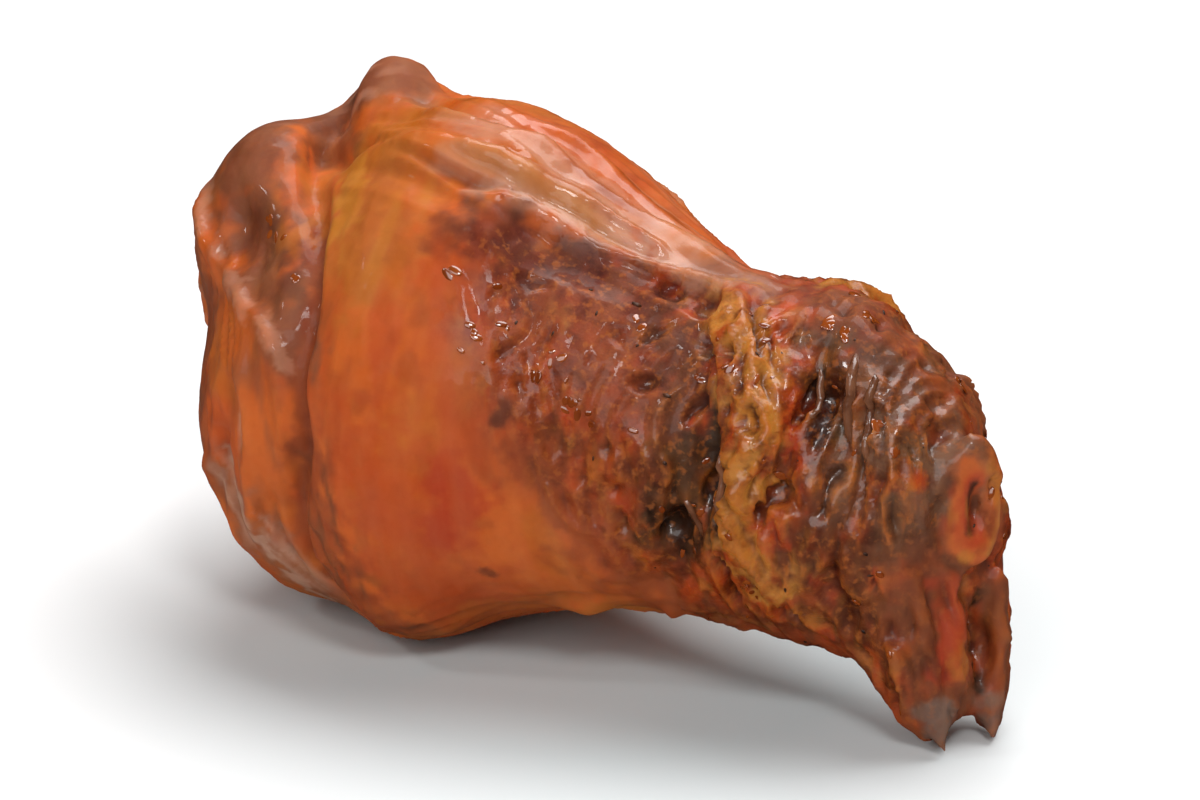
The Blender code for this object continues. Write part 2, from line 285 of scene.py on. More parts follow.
# Streaks of colour along the folds: name, colour, where, places, half width, spacing and length in
# mm, strength
STREAK_LAYER = (5.3, 2.6)  # how far apart the strokes read the noise, and where the first one does
STREAK_EDGE = (0.0, 0.4)  # noise where a streak starts and is full
STREAK_CORE = 0.5  # share of the half width where streaks are strongest
STREAKS = (
    # Pale streaks on the slope's folds: partly pale skin, partly painted highlight
    ("slope_pale", "pale_fold_and_highlight", "skin", ((-14, 89), (-8, 88), (-2, 91), (4, 95), (12, 97)),
     6.5, 1.5, 14.0, 0.55),
    ("slope_brown", "red_brown", "skin", ((-15, 88), (-10, 87), (-4, 89), (4, 94), (12, 97)),
     7.0, 2.0, 16.0, 0.8),
    # Painted highlight: pale streaks on the knob
    ("knob_highlight", "pale_fold_and_highlight", "skin", ((-28, 0, 42), (-25, 1, 45), (-21, 3, 46)),
     4.5, 1.1, 3.0, 0.45),
    ("slope_gold", "yellow_amber", "skin", ((-16, 80), (-8, 80), (0, 85), (8, 91)),
     4.0, 2.2, 12.0, 0.6),
    ("band_gold", "yellow_amber", "skin", ((-15, 72), (-13, 54), (-12, 36)), 6.0, 1.5, 9.0, 0.4),
    ("band_deep", "deep_orange", "skin", ((-12, 66), (-9, 40), (-8, 10), (-8, -24), (-8, -60)),
     9.0, 1.9, 9.0, 0.6),
    ("cap_gold", "amber", "skin", ((-26, 78), (-25, 72), (-22, 56), (-20, 42)), 4.4, 1.0, 2.4, 0.8),
    # Painted highlight: pale streaks on the cap's lower part
    ("cap_low_highlight", "pale_highlight", "skin", ((-27, -12), (-25, -30), (-22, -44), (-19, -56)),
     3.6, 0.7, 5.0, 0.45),
    ("cap_streaks", "mauve", "skin", ((-24, 24), (-23, 4), (-23, -18), (-24, -38)),
     4.0, 1.2, 6.0, 0.55),
    ("foot_streaks", "warm_brown", "skin", ((-16, 4), (-15, -24), (-13, -44), (-10, -60)),
     4.2, 0.8, 2.6, 0.75),
    ("belly_streaks", "red_brown", "skin", ((-16, -60), (-4, -66), (8, -72), (18, -80)),
     8.0, 1.6, 8.0, 0.5),
    ("flap_streaks", "brown", "both", ((33, -4.8, 16), (34, -4.2, 10), (34.6, -3.6, 3)),
     4.4, 0.9, 5.0, 0.7),
    ("elbow_streaks", "dark_red", "both", ((27, 76), (28, 50), (28.4, 20), (28, -10)),
     5.0, 1.2, 4.0, 0.4),
    ("elbow_pale", "taupe", "both", ((27, 70), (28, 50), (28.4, 20), (30, -6)), 5.0, 1.6, 4.0, 0.7),
    ("ring_streaks", "red_orange", "both", ((36, -2.6, 24), (35.6, -3, 20.8), (36, -2.4, 17.6)),
     2.2, 0.6, 1.6, 0.6),
    ("ring_gold", "amber", "both", ((36.2, -2.4, 24), (36, -2.8, 20.8), (36.2, -2.2, 17.6)),
     2.4, 0.5, 2.0, 0.6),
    ("back_pale", "pale_fold_and_highlight", "skin", ((-20, 124), (-8, 134), (4, 147), (14, 155)),
     9.0, 1.7, 12.0, 0.4),
    ("back_brown", "red_brown", "skin", ((-20, 140), (-8, 148), (4, 156), (14, 164)),
     12.0, 2.2, 14.0, 0.7),
    ("back_low_brown", "red_brown", "skin", ((-20, 200), (-8, 206), (4, 206), (14, 200)),
     12.0, 2.4, 14.0, 0.6),
)

# Holes in the skin that show torn meat: name, places, half width in mm, how torn
BARE_REACH = 1.5  # mm, how far past its half width a hole can reach
BARE_RAG = (1.4, 2.4)  # mm, how far its edge wanders and the size of its rags
BARE_CORE = 0.75
BARE = (
    ("shoulder_end", ((-38, -1.8, 20.6), (-38, 1.8, 23.4)), 6.4, 1.0),
    ("back_tear", ((3, 168), (7, 160), (11, 158)), 2.6, 0.9),
)

# -------------------------------------------------------------------------------------------------
# Colours, and the patches and tints that are painted with them in this order
# -------------------------------------------------------------------------------------------------
COLOURS = {
    "orange": (0.590, 0.112, 0.009),
    "amber": (0.470, 0.122, 0.008),
    "yellow_amber": (0.520, 0.180, 0.013),
    "deep_orange": (0.480, 0.060, 0.004),
    "red_orange": (0.430, 0.036, 0.003),
    "red_brown": (0.280, 0.044, 0.006),
    "warm_brown": (0.180, 0.040, 0.009),
    "dark_red": (0.120, 0.015, 0.003),
    "brown": (0.105, 0.023, 0.006),
    "grey_brown": (0.125, 0.048, 0.022),
    "mauve": (0.190, 0.056, 0.024),
    # Pale skin, also used for painted highlights along folds
    "pale_fold_and_highlight": (0.560, 0.260, 0.160),
    # Painted highlight on edges and lips
    "pale_highlight": (0.600, 0.350, 0.240),
    "olive_dark": (0.062, 0.028, 0.010),
    "taupe": (0.170, 0.078, 0.044),
    "tip_grey": (0.190, 0.120, 0.090),
    "ochre": (0.540, 0.210, 0.030),
    # Near-black, for painted shade in pits, slits and cracks
    "pit": (0.022, 0.004, 0.001),
    "ring_orange": (0.600, 0.120, 0.014),
}
GROUND_TINT = "orange"
TORN_TINT = "red_brown"
TORN_BLEND = (-7.0, 4.0)  # mm past the skin's edge, where the torn tint starts and is full

# Patches at random on skin or meat: name, colour, where, size in mm, noise where one starts and is
# full, strength
PATCH_STRETCH = {"skin": 1.6, "meat": 2.2}  # how much wider than long they are
PATCHES = (
    ("skin_deep", "deep_orange", "skin", 7.0, 0.0, 0.45, 0.55),
    ("skin_amber", "amber", "skin", 5.0, 0.05, 0.5, 0.5),
    ("skin_brown", "red_brown", "skin", 2.4, 0.12, 0.5, 0.4),
    ("skin_fine", "deep_orange", "skin", 1.1, 0.1, 0.5, 0.24),
    ("meat_glow", "deep_orange", "meat", 4.2, 0.0, 0.4, 0.6),
    ("meat_brown", "brown", "meat", 2.6, 0.0, 0.34, 0.75),
    ("meat_orange", "deep_orange", "meat", 2.4, 0.08, 0.36, 0.85),
    ("meat_ochre", "ochre", "meat", 1.2, 0.15, 0.45, 0.42),
    ("meat_red", "red_orange", "meat", 1.5, 0.1, 0.4, 0.7),
    ("meat_dark", "dark_red", "meat", 1.0, 0.12, 0.4, 0.75),
)

# Hollows are darkened, partly by sauce that gathers there and partly as painted shade, and sauce is
# thin on what stands proud: mm where that starts and is full
SUNK = (0.03, 0.5)
SUNK_SHADE = (0.66, 0.8, 0.86)  # how much red, green and blue a full hollow loses
PROUD = (0.05, 0.4)
PROUD_TINT = (0.15, 0.6)  # strength of the amber on whole skin and on torn meat

# Tints: name, colour, places, half width in mm, strength, raggedness in mm
TINT_RAG = 1.6  # how far a side wanders, for each mm of raggedness
TINT_RAG_SIZE = 2.2  # mm, size of its rags
TINT_CORE = 0.3  # share of the half width that a tint covers fully
TINTS = (
    ("band_top", "amber", ((-18, 82), (-15, 60), (-13, 44)), 7.0, 0.9, 2.0),
    ("band_shade", "red_brown", ((-18, 64), (-15, 54), (-12, 50)), 4.0, 0.25, 2.0),
    ("band_glow", "yellow_amber", ((-21, 74), (-19, 62), (-17, 50)), 2.2, 0.8, 1.4),
    ("slope_amber", "amber", ((-12, 78), (-2, 84), (8, 91), (14, 94)), 2.2, 0.8, 0.8),
    ("band_low", "deep_orange", ((-8, -4), (-8, -30), (-6, -56), (-10, -80)), 8.0, 0.75, 3.0),
    ("band_blotch", "red_orange", ((-3.5, -4), (-3, -12), (-5, -20)), 3.0, 0.85, 1.2),
    ("band_border", "red_brown", ((-6, 58), (-1, 40), (2, 17), (5, -13), (10, -50)), 3.4, 0.7, 2.0),
    ("cap_mauve", "mauve", ((-31, 74), (-29, 58), (-25, 46), (-22, 36), (-19, 24)), 6.0, 0.85, 2.0),
    ("cap_brown", "brown", ((-26, 54), (-23, 46), (-20, 36)), 2.6, 0.55, 1.6),
    ("cap_orange", "orange", ((-24, 22), (-22, 4), (-22, -14), (-24, -30)), 3.6, 0.9, 1.2),
    ("cap_side", "red_brown", ((-32, 30), (-31, 5), (-30, -25)), 4.5, 0.6, 2.0),
    # Painted shade: a darker line along the shoulder crease
    ("crease_shade", "red_brown",
     ((-21, 52), (-18, 34), (-17.5, 11), (-17.4, -4), (-19, -24), (-18, -44)), 1.7, 0.8, 0.6),
    ("cap_low", "taupe", ((-26, -24), (-24, -40), (-20, -54)), 4.0, 0.6, 1.6),
    ("cap_pale", "pale_fold_and_highlight", ((-26, -22), (-24, -38), (-21, -50)), 2.6, 0.35, 2.0),
    # Painted highlights: pale lines along the cap's folds and edges, in the next tints
    ("cap_line_highlight", "pale_fold_and_highlight", ((-34, 60), (-33, 51), (-31, 44), (-27, 34), (-22, 26), (-19, 18)),
     0.8, 0.4, 1.1),
    ("cap_top_line_highlight", "pale_fold_and_highlight", ((-34, 70), (-32, 76), (-29, 80)), 0.9, 0.35, 0.6),
    ("cap_low_edge_highlight", "pale_highlight", ((-26, -14), (-24.6, -30), (-23.4, -46), (-21, -60)),
     0.8, 0.6, 0.8),
    ("cap_side_line_highlight", "pale_fold_and_highlight", ((-24, 10), (-23.6, -2), (-24, -16)), 0.6, 0.5, 0.3),
    # Partly the cap top's own brown, partly painted shade darkening the top
    ("cap_top", "warm_brown", ((-33, 76), (-29, 86), (-25, 84)), 4.2, 0.7, 2.0),
    ("cap_amber", "amber", ((-24, 74), (-22, 62)), 2.0, 0.7, 1.0),
    ("knob", "mauve", ((-26, 2, 44), (-22, 3, 46)), 5.0, 0.85, 1.0),
    ("band_foot", "red_brown", ((-16, 0), (-15, -24), (-13, -44), (-10, -60)), 3.6, 0.75, 1.4),
    ("band_spot", "dark_red", ((0.4, 19), (0.0, 15)), 1.1, 0.9, 0.3),
    ("band_mark", "dark_red", ((-2.6, -36), (-2.2, -38)), 0.7, 0.7, 0.2),
    # Painted highlights: pale lines along the fold lips and the slope
    ("fold_lip_highlight", "pale_highlight", ((-7, 71), (-2, 76), (4, 81), (9, 85), (14, 89)), 1.7, 0.6, 0.9),
    ("slope_low_highlight", "pale_fold_and_highlight", ((8, 82), (13, 86), (16, 88)), 2.0, 0.6, 0.8),
    ("knob_dark", "brown", ((-28, 1, 42), (-27, -1, 42)), 2.4, 0.6, 1.0),
    ("slope_orange", "orange", ((-12, 85), (-6, 87), (0, 92)), 6.0, 0.6, 2.0),
    # Partly pale skin, partly painted highlight on the slope's folds
    ("slope_pale", "pale_fold_and_highlight", ((-10, 72), (-4, 76), (3, 82), (9, 88), (15, 92)), 2.8, 0.55, 1.2),
    ("slope_top_highlight", "pale_fold_and_highlight", ((-14, 84), (-5, 88), (4, 94), (12, 98)), 2.0, 0.4, 1.0),
    ("under_fold", "dark_red", ((-4.6, 60), (-1, 62), (3, 66), (8, 62)), 4.0, 0.95, 1.4),
    ("meat_shade", "dark_red", ((0, 56), (8, 50), (12, 42)), 5.0, 0.55, 2.0),
    ("neck_red", "red_brown", ((4, 46), (8, 34), (9, 8), (12, -10)), 4.6, 0.6, 2.5),
    ("neck_brown", "brown", ((11, 60), (13, 36), (13, 6), (13, -34)), 3.6, 0.7, 2.0),
    # Partly the meat's own red-brown, partly painted shade darkening the tops of the neck and elbow
    ("neck_top", "dark_red", ((12, 91), (18, 92), (23, 91)), 3.8, 0.5, 1.6),
    ("elbow_brown_and_shade", "warm_brown", ((22, 86), (27, 86), (32, 80), (34, 68)), 5.0, 0.7, 2.4),
    ("elbow_top_shade", "dark_red", ((23, 78), (27, 82), (31, 76)), 3.0, 0.5, 1.6),
    ("elbow_end", "taupe", ((34, 60), (35, 40), (34.6, 20), (33, 0)), 4.4, 0.9, 1.6),
    ("ochre_ridge", "ochre",
     ((14.5, 74), (17.5, 58), (19.5, 42), (20.5, 26), (19.5, 4), (19, -21), (22.4, -40)),
     3.0, 0.9, 2.2),
    ("elbow_grey", "grey_brown", ((26, 72), (30, 62), (28.5, 40), (28, 14), (30, -8)),
     4.4, 0.8, 2.2),
    # Painted shade: near-black in the elbow hollow
    ("elbow_hollow", "pit", ((24, 66), (24.6, 54), (24.4, 46)), 3.0, 0.9, 1.0),
    ("neck_dark", "olive_dark", ((15, 16), (14.6, 0), (13.4, -14), (13.6, -26)), 3.4, 0.75, 1.6),
    # Painted shade: near-black in the neck's pits and cave
    ("pit_shade", "pit", ((16, 28), (16.4, 18), (17, 4), (17, -14)), 2.1, 0.95, 0.7),
    ("cave_shade", "pit", ((12.4, -16), (14, -26)), 2.4, 0.9, 0.8),
    ("elbow_low", "brown", ((27, -20), (28, -42), (30, -60)), 4.4, 0.7, 2.0),
    # Partly the flap's own brown, partly painted shade darkening the far end
    ("flap_brown_and_shade", "warm_brown", ((33, -4.6, 16), (34, -4, 10), (34.6, -3.4, 3)), 4.4, 0.8, 1.5),
    ("flap_red", "red_orange", ((34.2, -3.0, 14.6), (34.8, -2.6, 11.0), (34.6, -3.4, 8.0)),
     2.2, 0.75, 1.0),
    ("flap_amber", "amber", ((34.9, -2.6, 9.2), (35.0, -2.4, 7.2)), 1.4, 0.95, 0.6),
    ("ring", "ring_orange",
     ((36, -2.2, 24.6), (36, -2.6, 20.8), (36, -2.0, 17.2), (36.6, 0.6, 17.6), (36.8, 1.0, 21),
      (36.4, 0.4, 24.6)), 1.9, 0.86, 0.9),
    # Painted shade: darker towards the slit inside the ring
    ("ring_inside_shade", "red_orange", ((36.6, -1.9, 23.6), (36.8, -1.8, 21.2), (36.6, -1.9, 18.8)),
     1.2, 0.8, 0.5),
    # Painted shade: near-black in the ring's slit
    ("ring_slit", "pit", ((36.6, -1.9, 23.0), (36.8, -1.8, 21.2), (36.6, -1.9, 19.4)),
     0.6, 1.0, 0.1),
    # Painted shade: near-black in the flap's crack
    ("crack_shade", "pit", ((35.6, 0.8, 12.4), (35.6, 1.0, 8.4), (36.0, 0.4, 4.8)), 0.9, 0.95, 0.3),
    ("heel_tint", "warm_brown", ((36.4, 3, 12), (36.6, 2.6, 6), (36.4, 2, 1)), 2.6, 0.85, 0.8),
    ("tip_front", "tip_grey", ((34.0, -4.0, 4.2), (34.4, -3.8, 2.4), (34.8, -3.6, 0.6)),
     2.0, 0.85, 1.0),
    ("tip_heel", "tip_grey", ((36.4, 1.2, 3.4), (36.6, 1.0, 2.0), (36.9, 0.6, 0.6)), 1.8, 0.8, 0.8),
    # Painted shade: a darker line along the groove round the ring
    ("ring_edge_shade", "brown", ((35, -4.2, 24), (34.6, -4.4, 21), (35, -4.0, 17.6), (36, -1.6, 15.6)),
     0.9, 0.75, 0.5),
    # Painted highlight: a paler rim on the ring
    ("ring_rim_highlight", "yellow_amber",
     ((36.6, -0.4, 24.8), (37.2, 0.6, 21), (36.6, -0.6, 17.2), (35.9, -2.4, 17.0)), 0.8, 0.7, 0.5),
    ("heel_edge", "red_brown", ((36.6, 1.6, 9), (36.6, 1.4, 5)), 1.0, 0.7, 0.4),
    # Painted bounce light: the underside made lighter amber
    ("belly", "amber", ((-10, -60), (-2, -64), (6, -66)), 4.0, 0.5, 2.0),
    ("belly_drip", "amber", ((4, -62), (6, -70), (2, -76)), 2.2, 0.8, 0.8),
    ("end_meat", "red_brown", ((-38, -1.6, 21), (-38, 1.6, 23)), 6.0, 0.5, 1.5),
    ("end_dark", "dark_red", ((-37, -4.6, 18), (-37, 0, 15.6), (-37, 4.4, 18), (-37, 5, 22)),
     1.8, 0.8, 1.0),
    ("end_rim_pale", "pale_fold_and_highlight", END_RIM, 1.3, 0.3, 0.8),
    ("end_mauve", "mauve", ((-35, -11, 30), (-35, -12, 22), (-34, -11, 14)), 4.0, 0.55, 2.5),
    ("back_tear", "warm_brown", ((3, 168), (7, 160), (11, 158)), 3.0, 0.7, 1.0),
    ("back_amber", "amber", ((-14, 112), (-8, 128), (-2, 146)), 6.0, 0.7, 2.5),
    ("back_deep", "deep_orange", ((-14, 196), (-4, 200), (6, 204)), 7.0, 0.7, 3.0),
    ("back_mauve", "mauve", ((-31, 120), (-30, 150), (-29, 180)), 6.0, 0.65, 2.5),
    ("back_pale", "pale_fold_and_highlight", ((-16, 131), (-6, 139), (5, 148), (13, 155)), 1.6, 0.4, 1.0),
    ("back_neck", "brown", ((14, 130), (16, 165), (15, 200)), 3.6, 0.7, 2.0),
    ("back_ochre", "ochre", ((20, 112), (21.6, 138), (22, 168), (21, 198)), 2.2, 0.8, 1.0),
    # Painted shade: near-black in the back's pit and cave
    ("back_pit_shade", "pit", ((15, 160), (16, 176)), 1.7, 0.85, 0.8),
    ("back_cave_shade", "pit", ((19, 206), (21, 220)), 1.9, 0.85, 0.8),
    ("back_elbow_tint", "grey_brown", ((29, 120), (31, 150), (30, 190)), 4.4, 0.6, 2.0),
)


# -------------------------------------------------------------------------------------------------
# Sculpting tools
# -------------------------------------------------------------------------------------------------
def smooth_step(low, high, values):
    """An S-shaped ramp from 0 where the values reach low to 1 where they reach high."""
    share = np.clip((values - low) / (high - low), 0.0, 1.0)
    return share * share * (3.0 - 2.0 * share)


def noise_field(points, size, seed, detail=0):
    """Smooth noise from about -1 to 1 at every point. Its lumps have one size or three."""
    scaled = points / np.array(size, dtype=float) + 17.3 * seed
    if detail:
        return np.array([noise.fractal(p, 1.0, 2.0, detail) for p in map(Vector, scaled)])
    return np.array([noise.noise(p) for p in map(Vector, scaled)])


def stroke_noise(along, across, layer, detail=0):
    """Noise laid out along a stroke and across it. Every stroke reads a layer of its own."""
    flow = np.stack([along, across, np.full(len(along), layer)], axis=1)
    return noise_field(flow, 1.0, 0, detail)


class Skin:
    """The wing's surface as arrays in mm, which strokes push, pull and tint."""

    def __init__(self, mesh):
        count = len(mesh.vertices)
        flat = np.empty(count * 3)
        mesh.vertices.foreach_get("co", flat)
        self.mesh = mesh
        self.points = flat.reshape(-1, 3) / MM
        self.find_normals()
        polygons = [tuple(face.vertices) for face in mesh.polygons]
        self.tree = BVHTree.FromPolygons([Vector(p) for p in self.points], polygons)

    def find_normals(self):
        """Read the mesh's normals."""
        flat = np.empty(len(self.points) * 3)
        self.mesh.vertices.foreach_get("normal", flat)
        self.normals = flat.reshape(-1, 3)

    def write(self):
        """Put the moved points into the mesh."""
        self.mesh.vertices.foreach_set("co", (self.points * MM).ravel())
        self.mesh.update()
        self.find_normals()

    def on_skin(self, place):
        """The point of the skin at a place, in either of the two ways that a place is given."""
        if len(place) == 3:
            return self.tree.find_nearest(Vector(place))[0]
        angle = math.radians(place[1])
        outwards = Vector((0.0, -math.cos(angle), math.sin(angle)))
        bone = Vector((place[0], 0.0, BONE_HEIGHT))
        hit = self.tree.ray_cast(bone + outwards * PIECE_REACH, -outwards)[0]
        return hit if hit else self.tree.find_nearest(bone)[0]

    def path(self, places, step=1.2):
        """Points along the skin, close together, on a smooth line through the places."""
        knots = [self.on_skin(place) for place in places]
        knots = [knots[0] * 2 - knots[1], *knots, knots[-1] * 2 - knots[-2]]
        line = []
        for before, start, end, after in zip(knots, knots[1:], knots[2:], knots[3:]):
            cuts = max(1, round((end - start).length / step))
            for i in range(cuts):  # a Catmull-Rom spline
                t = i / cuts
                bend = (end - before) * t + (before * 2 - start * 5 + end * 4 - after) * t * t
                bend += (start * 3 - before - end * 3 + after) * t * t * t
                line.append(start + bend / 2)
        line.append(knots[-2])
        return np.array([self.tree.find_nearest(point)[0] for point in line])

    def beside(self, places, reach):
        """The points near a stroke, how far from, across and along it they are, and its length."""
        line = self.path(places)
        low, high = line.min(0) - reach, line.max(0) + reach
        chosen = np.nonzero(np.all((self.points > low) & (self.points < high), axis=1))[0]
        local, normals = self.points[chosen], self.normals[chosen]
        away = np.full(len(chosen), np.inf)
        across, along = np.zeros(len(chosen)), np.zeros(len(chosen))
        walked = 0.0
        for start, end in zip(line, line[1:]):
            run = end - start
            length = max(float(np.linalg.norm(run)), 1e-6)
            share = np.clip((local - start) @ run / length**2, 0.0, 1.0)
            offset = local - (start + share[:, None] * run)
            distance = np.linalg.norm(offset, axis=1)
            nearer = distance < away
            side = np.sign(np.einsum("ij,ij->i", np.cross(run, offset), normals))
            away[nearer] = distance[nearer]
            across[nearer] = (side * distance)[nearer]
            along[nearer] = (walked + share * length)[nearer]
            walked += length
        near = away < reach
        return chosen[near], away[near], across[near], along[near], walked

    def turn(self):
        """Degrees round the bone, from -90 to 270, of every point."""
        angle = np.degrees(np.arctan2(self.points[:, 2] - BONE_HEIGHT, -self.points[:, 1]))
        return np.where(angle < -90.0, angle + 360.0, angle)


def fold_section(kind, away, across, half_width):
    """Height of a fold's section, from 0 at its sides to 1."""
    share = away / half_width
    if kind == "crease":
        return (1.0 - share) ** 2
    if kind == "lip":
        rise = np.clip(1.0 + across / half_width, 0.0, 1.0) ** 2
        return rise * smooth_step(LIP_DROP * half_width, 0.0, across)
    return (1.0 - share * share) ** 2


def end_fade(along, length):
    """Strokes sink in and come out over their first and last few mm."""
    room = max(min(END_FADE, length / 2.0), 0.01)
    return np.clip(np.minimum(along, length - along) / room + BLUNT_END, 0.0, 1.0)


def press_folds(skin, depth):
    """Push the skin in and out along every fold."""
    moves = np.zeros(len(skin.points))
    for _, kind, places, half_width, height in FOLDS:
        chosen, away, across, along, length = skin.beside(places, half_width)
        section = fold_section(kind, away, across, half_width)
        moves[chosen] += section * height * end_fade(along, length) * depth
    skin.points += skin.normals * moves[:, None]
    skin.write()


def grain_relief(skin):
    """Pleats and fibres that run along their strokes."""
    moves = np.zeros(len(skin.points))
    for row, (_, places, half_width, relief, spacing, run) in enumerate(GRAIN):
        chosen, away, across, along, length = skin.beside(places, half_width)
        lines = stroke_noise(along / run, across / spacing, GRAIN_LAYER * row)
        fade = (1.0 - (away / half_width) ** 2) * end_fade(along, length)
        moves[chosen] += (1.0 - GRAIN_SHARPNESS * np.abs(lines)) * relief * fade
    return moves


def past_edge(skin):
    """How far every point is past the ragged edge of the whole skin, in mm."""
    degrees, places = zip(*SKIN_EDGE)
    edge = np.interp(skin.turn(), degrees, places)
    edge += EDGE_RAG * noise_field(skin.points, EDGE_RAG_SIZE, SEEDS["edge"], 3)
    return skin.points[:, 0] - edge


def torn_share(skin):
    """How torn the surface is at every point: 0 on whole skin, 1 on bare meat."""
    torn = smooth_step(-EDGE_SOFTNESS, EDGE_SOFTNESS, past_edge(skin))
    for _, places, half_width, cover in SMOOTH_SKIN:
        chosen, away, *_ = skin.beside(places, half_width)
        torn[chosen] *= 1.0 - cover * smooth_step(half_width, half_width * SOFT_CORE, away)
    rag, rag_size = BARE_RAG
    for _, places, half_width, share in BARE:
        chosen, away, *_ = skin.beside(places, half_width + BARE_REACH)
        uneven = away + rag * noise_field(skin.points[chosen], rag_size, SEEDS["bare"], 2)
        hole = share * smooth_step(half_width, half_width * BARE_CORE, uneven)
        torn[chosen] = np.maximum(torn[chosen], hole)
    return torn


def wetness(skin, torn):
    """How wet the surface is at every point, from 0 to 1."""
    wet = DRY_SKIN + (WET_MEAT - DRY_SKIN) * torn
    for _, places, half_width, wanted in WET:
        chosen, away, *_ = skin.beside(places, half_width)
        cover = smooth_step(half_width, half_width * SOFT_CORE, away)
        wet[chosen] += (wanted - wet[chosen]) * cover
    return wet


def drifted(points, size, reach, seed):
    """The points moved about by slow noise, so that a pattern read there bends as fibres do."""
    moves = [noise_field(points, (size, size, size), seed + axis) for axis in range(3)]
    return points + reach * np.stack(moves, axis=1)


def meat_relief(skin, torn, depth):
    """Folds, strings and pits of torn meat, and the faint unevenness of whole skin."""
    points = skin.points
    bent = drifted(points, *MEAT_BENDS, SEEDS["bends"])
    meat = np.zeros(len(points))
    for row, (_, form, size, relief, detail) in enumerate(MEAT):
        lumps = noise_field(points if form == "grit" else bent, size, MEAT_SEED + row, detail)
        if form == "ridges":
            lumps = 1.0 - RIDGE_SHARPNESS * np.abs(lumps)
        elif form == "pits":
            lumps = smooth_step(*PIT_EDGE, lumps)
        meat += relief * lumps
    deep = MEAT_LEAST + (1.0 - MEAT_LEAST) * smooth_step(*MEAT_DEEPENS, points[:, 0])
    (swell_size, swell), (wrinkle_size, wrinkle) = SKIN_SWELLS, SKIN_WRINKLES
    whole = swell * noise_field(points, swell_size, SEEDS["swells"])
    whole -= wrinkle * np.abs(noise_field(points, wrinkle_size, SEEDS["wrinkles"], 2))
    return meat * deep * torn * depth + whole * (1.0 - torn)


def hollow_share(skin, reach=6):
    """How far each point lies inside its surroundings, in mm: above zero in a hollow."""
    count = len(skin.points)
    edges = np.empty(len(skin.mesh.edges) * 2, dtype=np.int64)
    skin.mesh.edges.foreach_get("vertices", edges)
    first, last = edges.reshape(-1, 2).T
    ways = np.bincount(first, minlength=count) + np.bincount(last, minlength=count)
    smooth = skin.points.copy()
    for _ in range(reach):
        total = np.zeros_like(smooth)
        for axis in range(3):
            total[:, axis] = np.bincount(first, smooth[last, axis], count)
            total[:, axis] += np.bincount(last, smooth[first, axis], count)
        smooth = total / np.maximum(ways, 1)[:, None]
    return np.einsum("ij,ij->i", smooth - skin.points, skin.normals)


def blend(tone, chosen, colour, cover):
    """Paint one colour over the chosen points, as strongly as their cover says."""
    tone[chosen] += (colour - tone[chosen]) * cover[:, None]


def paint_patches(tone, skin, torn, palette):
    """Patches of colour at random on the skin and the meat."""
    for row, (_, colour, where, size, start, full, strength) in enumerate(PATCHES):
        share = torn if where == "meat" else 1.0 - torn
        wide = size * PATCH_STRETCH[where]
        lumps = noise_field(skin.points, (size, wide, wide), SEEDS["patches"] + row, 2)
        cover = smooth_step(start, full, lumps) * share * strength
        blend(tone, slice(None), palette[colour], cover)


def paint_tints(tone, skin, palette):
    """Strokes of colour with ragged sides, some of them painted shade or painted highlights."""
    rag = noise_field(skin.points, TINT_RAG_SIZE, SEEDS["rag"], 3)
    for _, colour, places, half_width, strength, raggedness in TINTS:
        chosen, away, *_ = skin.beside(places, half_width + raggedness)
        uneven = away + raggedness * TINT_RAG * rag[chosen]
        cover = strength * smooth_step(half_width, half_width * TINT_CORE, uneven)
        blend(tone, chosen, palette[colour], cover)


def paint_streaks(tone, skin, torn, palette):
    """Fine streaks of colour that run along their strokes."""
    apart, first = STREAK_LAYER
    for row, (_, colour, where, places, half_width, spacing, run, strength) in enumerate(STREAKS):
        chosen, away, across, along, length = skin.beside(places, half_width)
        lines = stroke_noise(along / run, across / spacing, apart * row + first, 1)
        fade = smooth_step(half_width, half_width * STREAK_CORE, away) * end_fade(along, length)
        cover = strength * smooth_step(*STREAK_EDGE, lines) * fade
        if where == "skin":
            cover *= 1.0 - torn[chosen]
        blend(tone, chosen, palette[colour], cover)


def painted(skin, torn, colours):
    """The sauce's colour at every point, with painted shade in hollows, creases and pits and
    painted highlights on some folds and edges.
    """
    palette = {name: np.array(colour) for name, colour in colours.items()}
    tone = np.tile(palette[GROUND_TINT], (len(skin.points), 1))
    blend(tone, slice(None), palette[TORN_TINT], smooth_step(*TORN_BLEND, past_edge(skin)))
    paint_patches(tone, skin, torn, palette)
    paint_tints(tone, skin, palette)
    paint_streaks(tone, skin, torn, palette)
    hollow = hollow_share(skin)
    # Painted shade, and pooled sauce: darker in the hollows
    tone *= 1.0 - np.array(SUNK_SHADE) * smooth_step(*SUNK, hollow)[:, None]
    on_skin, on_meat = PROUD_TINT
    amber = smooth_step(*PROUD, -hollow) * (on_skin + (on_meat - on_skin) * torn)
    blend(tone, slice(None), palette["amber"], amber)
    return np.clip(tone, 0.0, 1.0)


def store(mesh, name, kind, values):
    """Keep a value or a colour for every point on the mesh."""
    attribute = mesh.attributes.new(name, kind, "POINT")
    if kind == "FLOAT_COLOR":
        alpha = np.ones((len(values), 1))
        attribute.data.foreach_set("color", np.hstack([values, alpha]).astype(np.float32).ravel())
    else:
        attribute.data.foreach_set("value", values.astype(np.float32))


# -------------------------------------------------------------------------------------------------
# Mesh tools
# -------------------------------------------------------------------------------------------------
def new_object(name, mesh):
    """An object for the mesh, linked to the scene."""
    thing = bpy.data.objects.new(name, mesh)
    bpy.context.scene.collection.objects.link(thing)
    return thing


def mesh_of(shape, name):
    """The bmesh as a mesh. The bmesh is freed."""
    mesh = bpy.data.meshes.new(name)
    shape.to_mesh(mesh)
    shape.free()
    return mesh


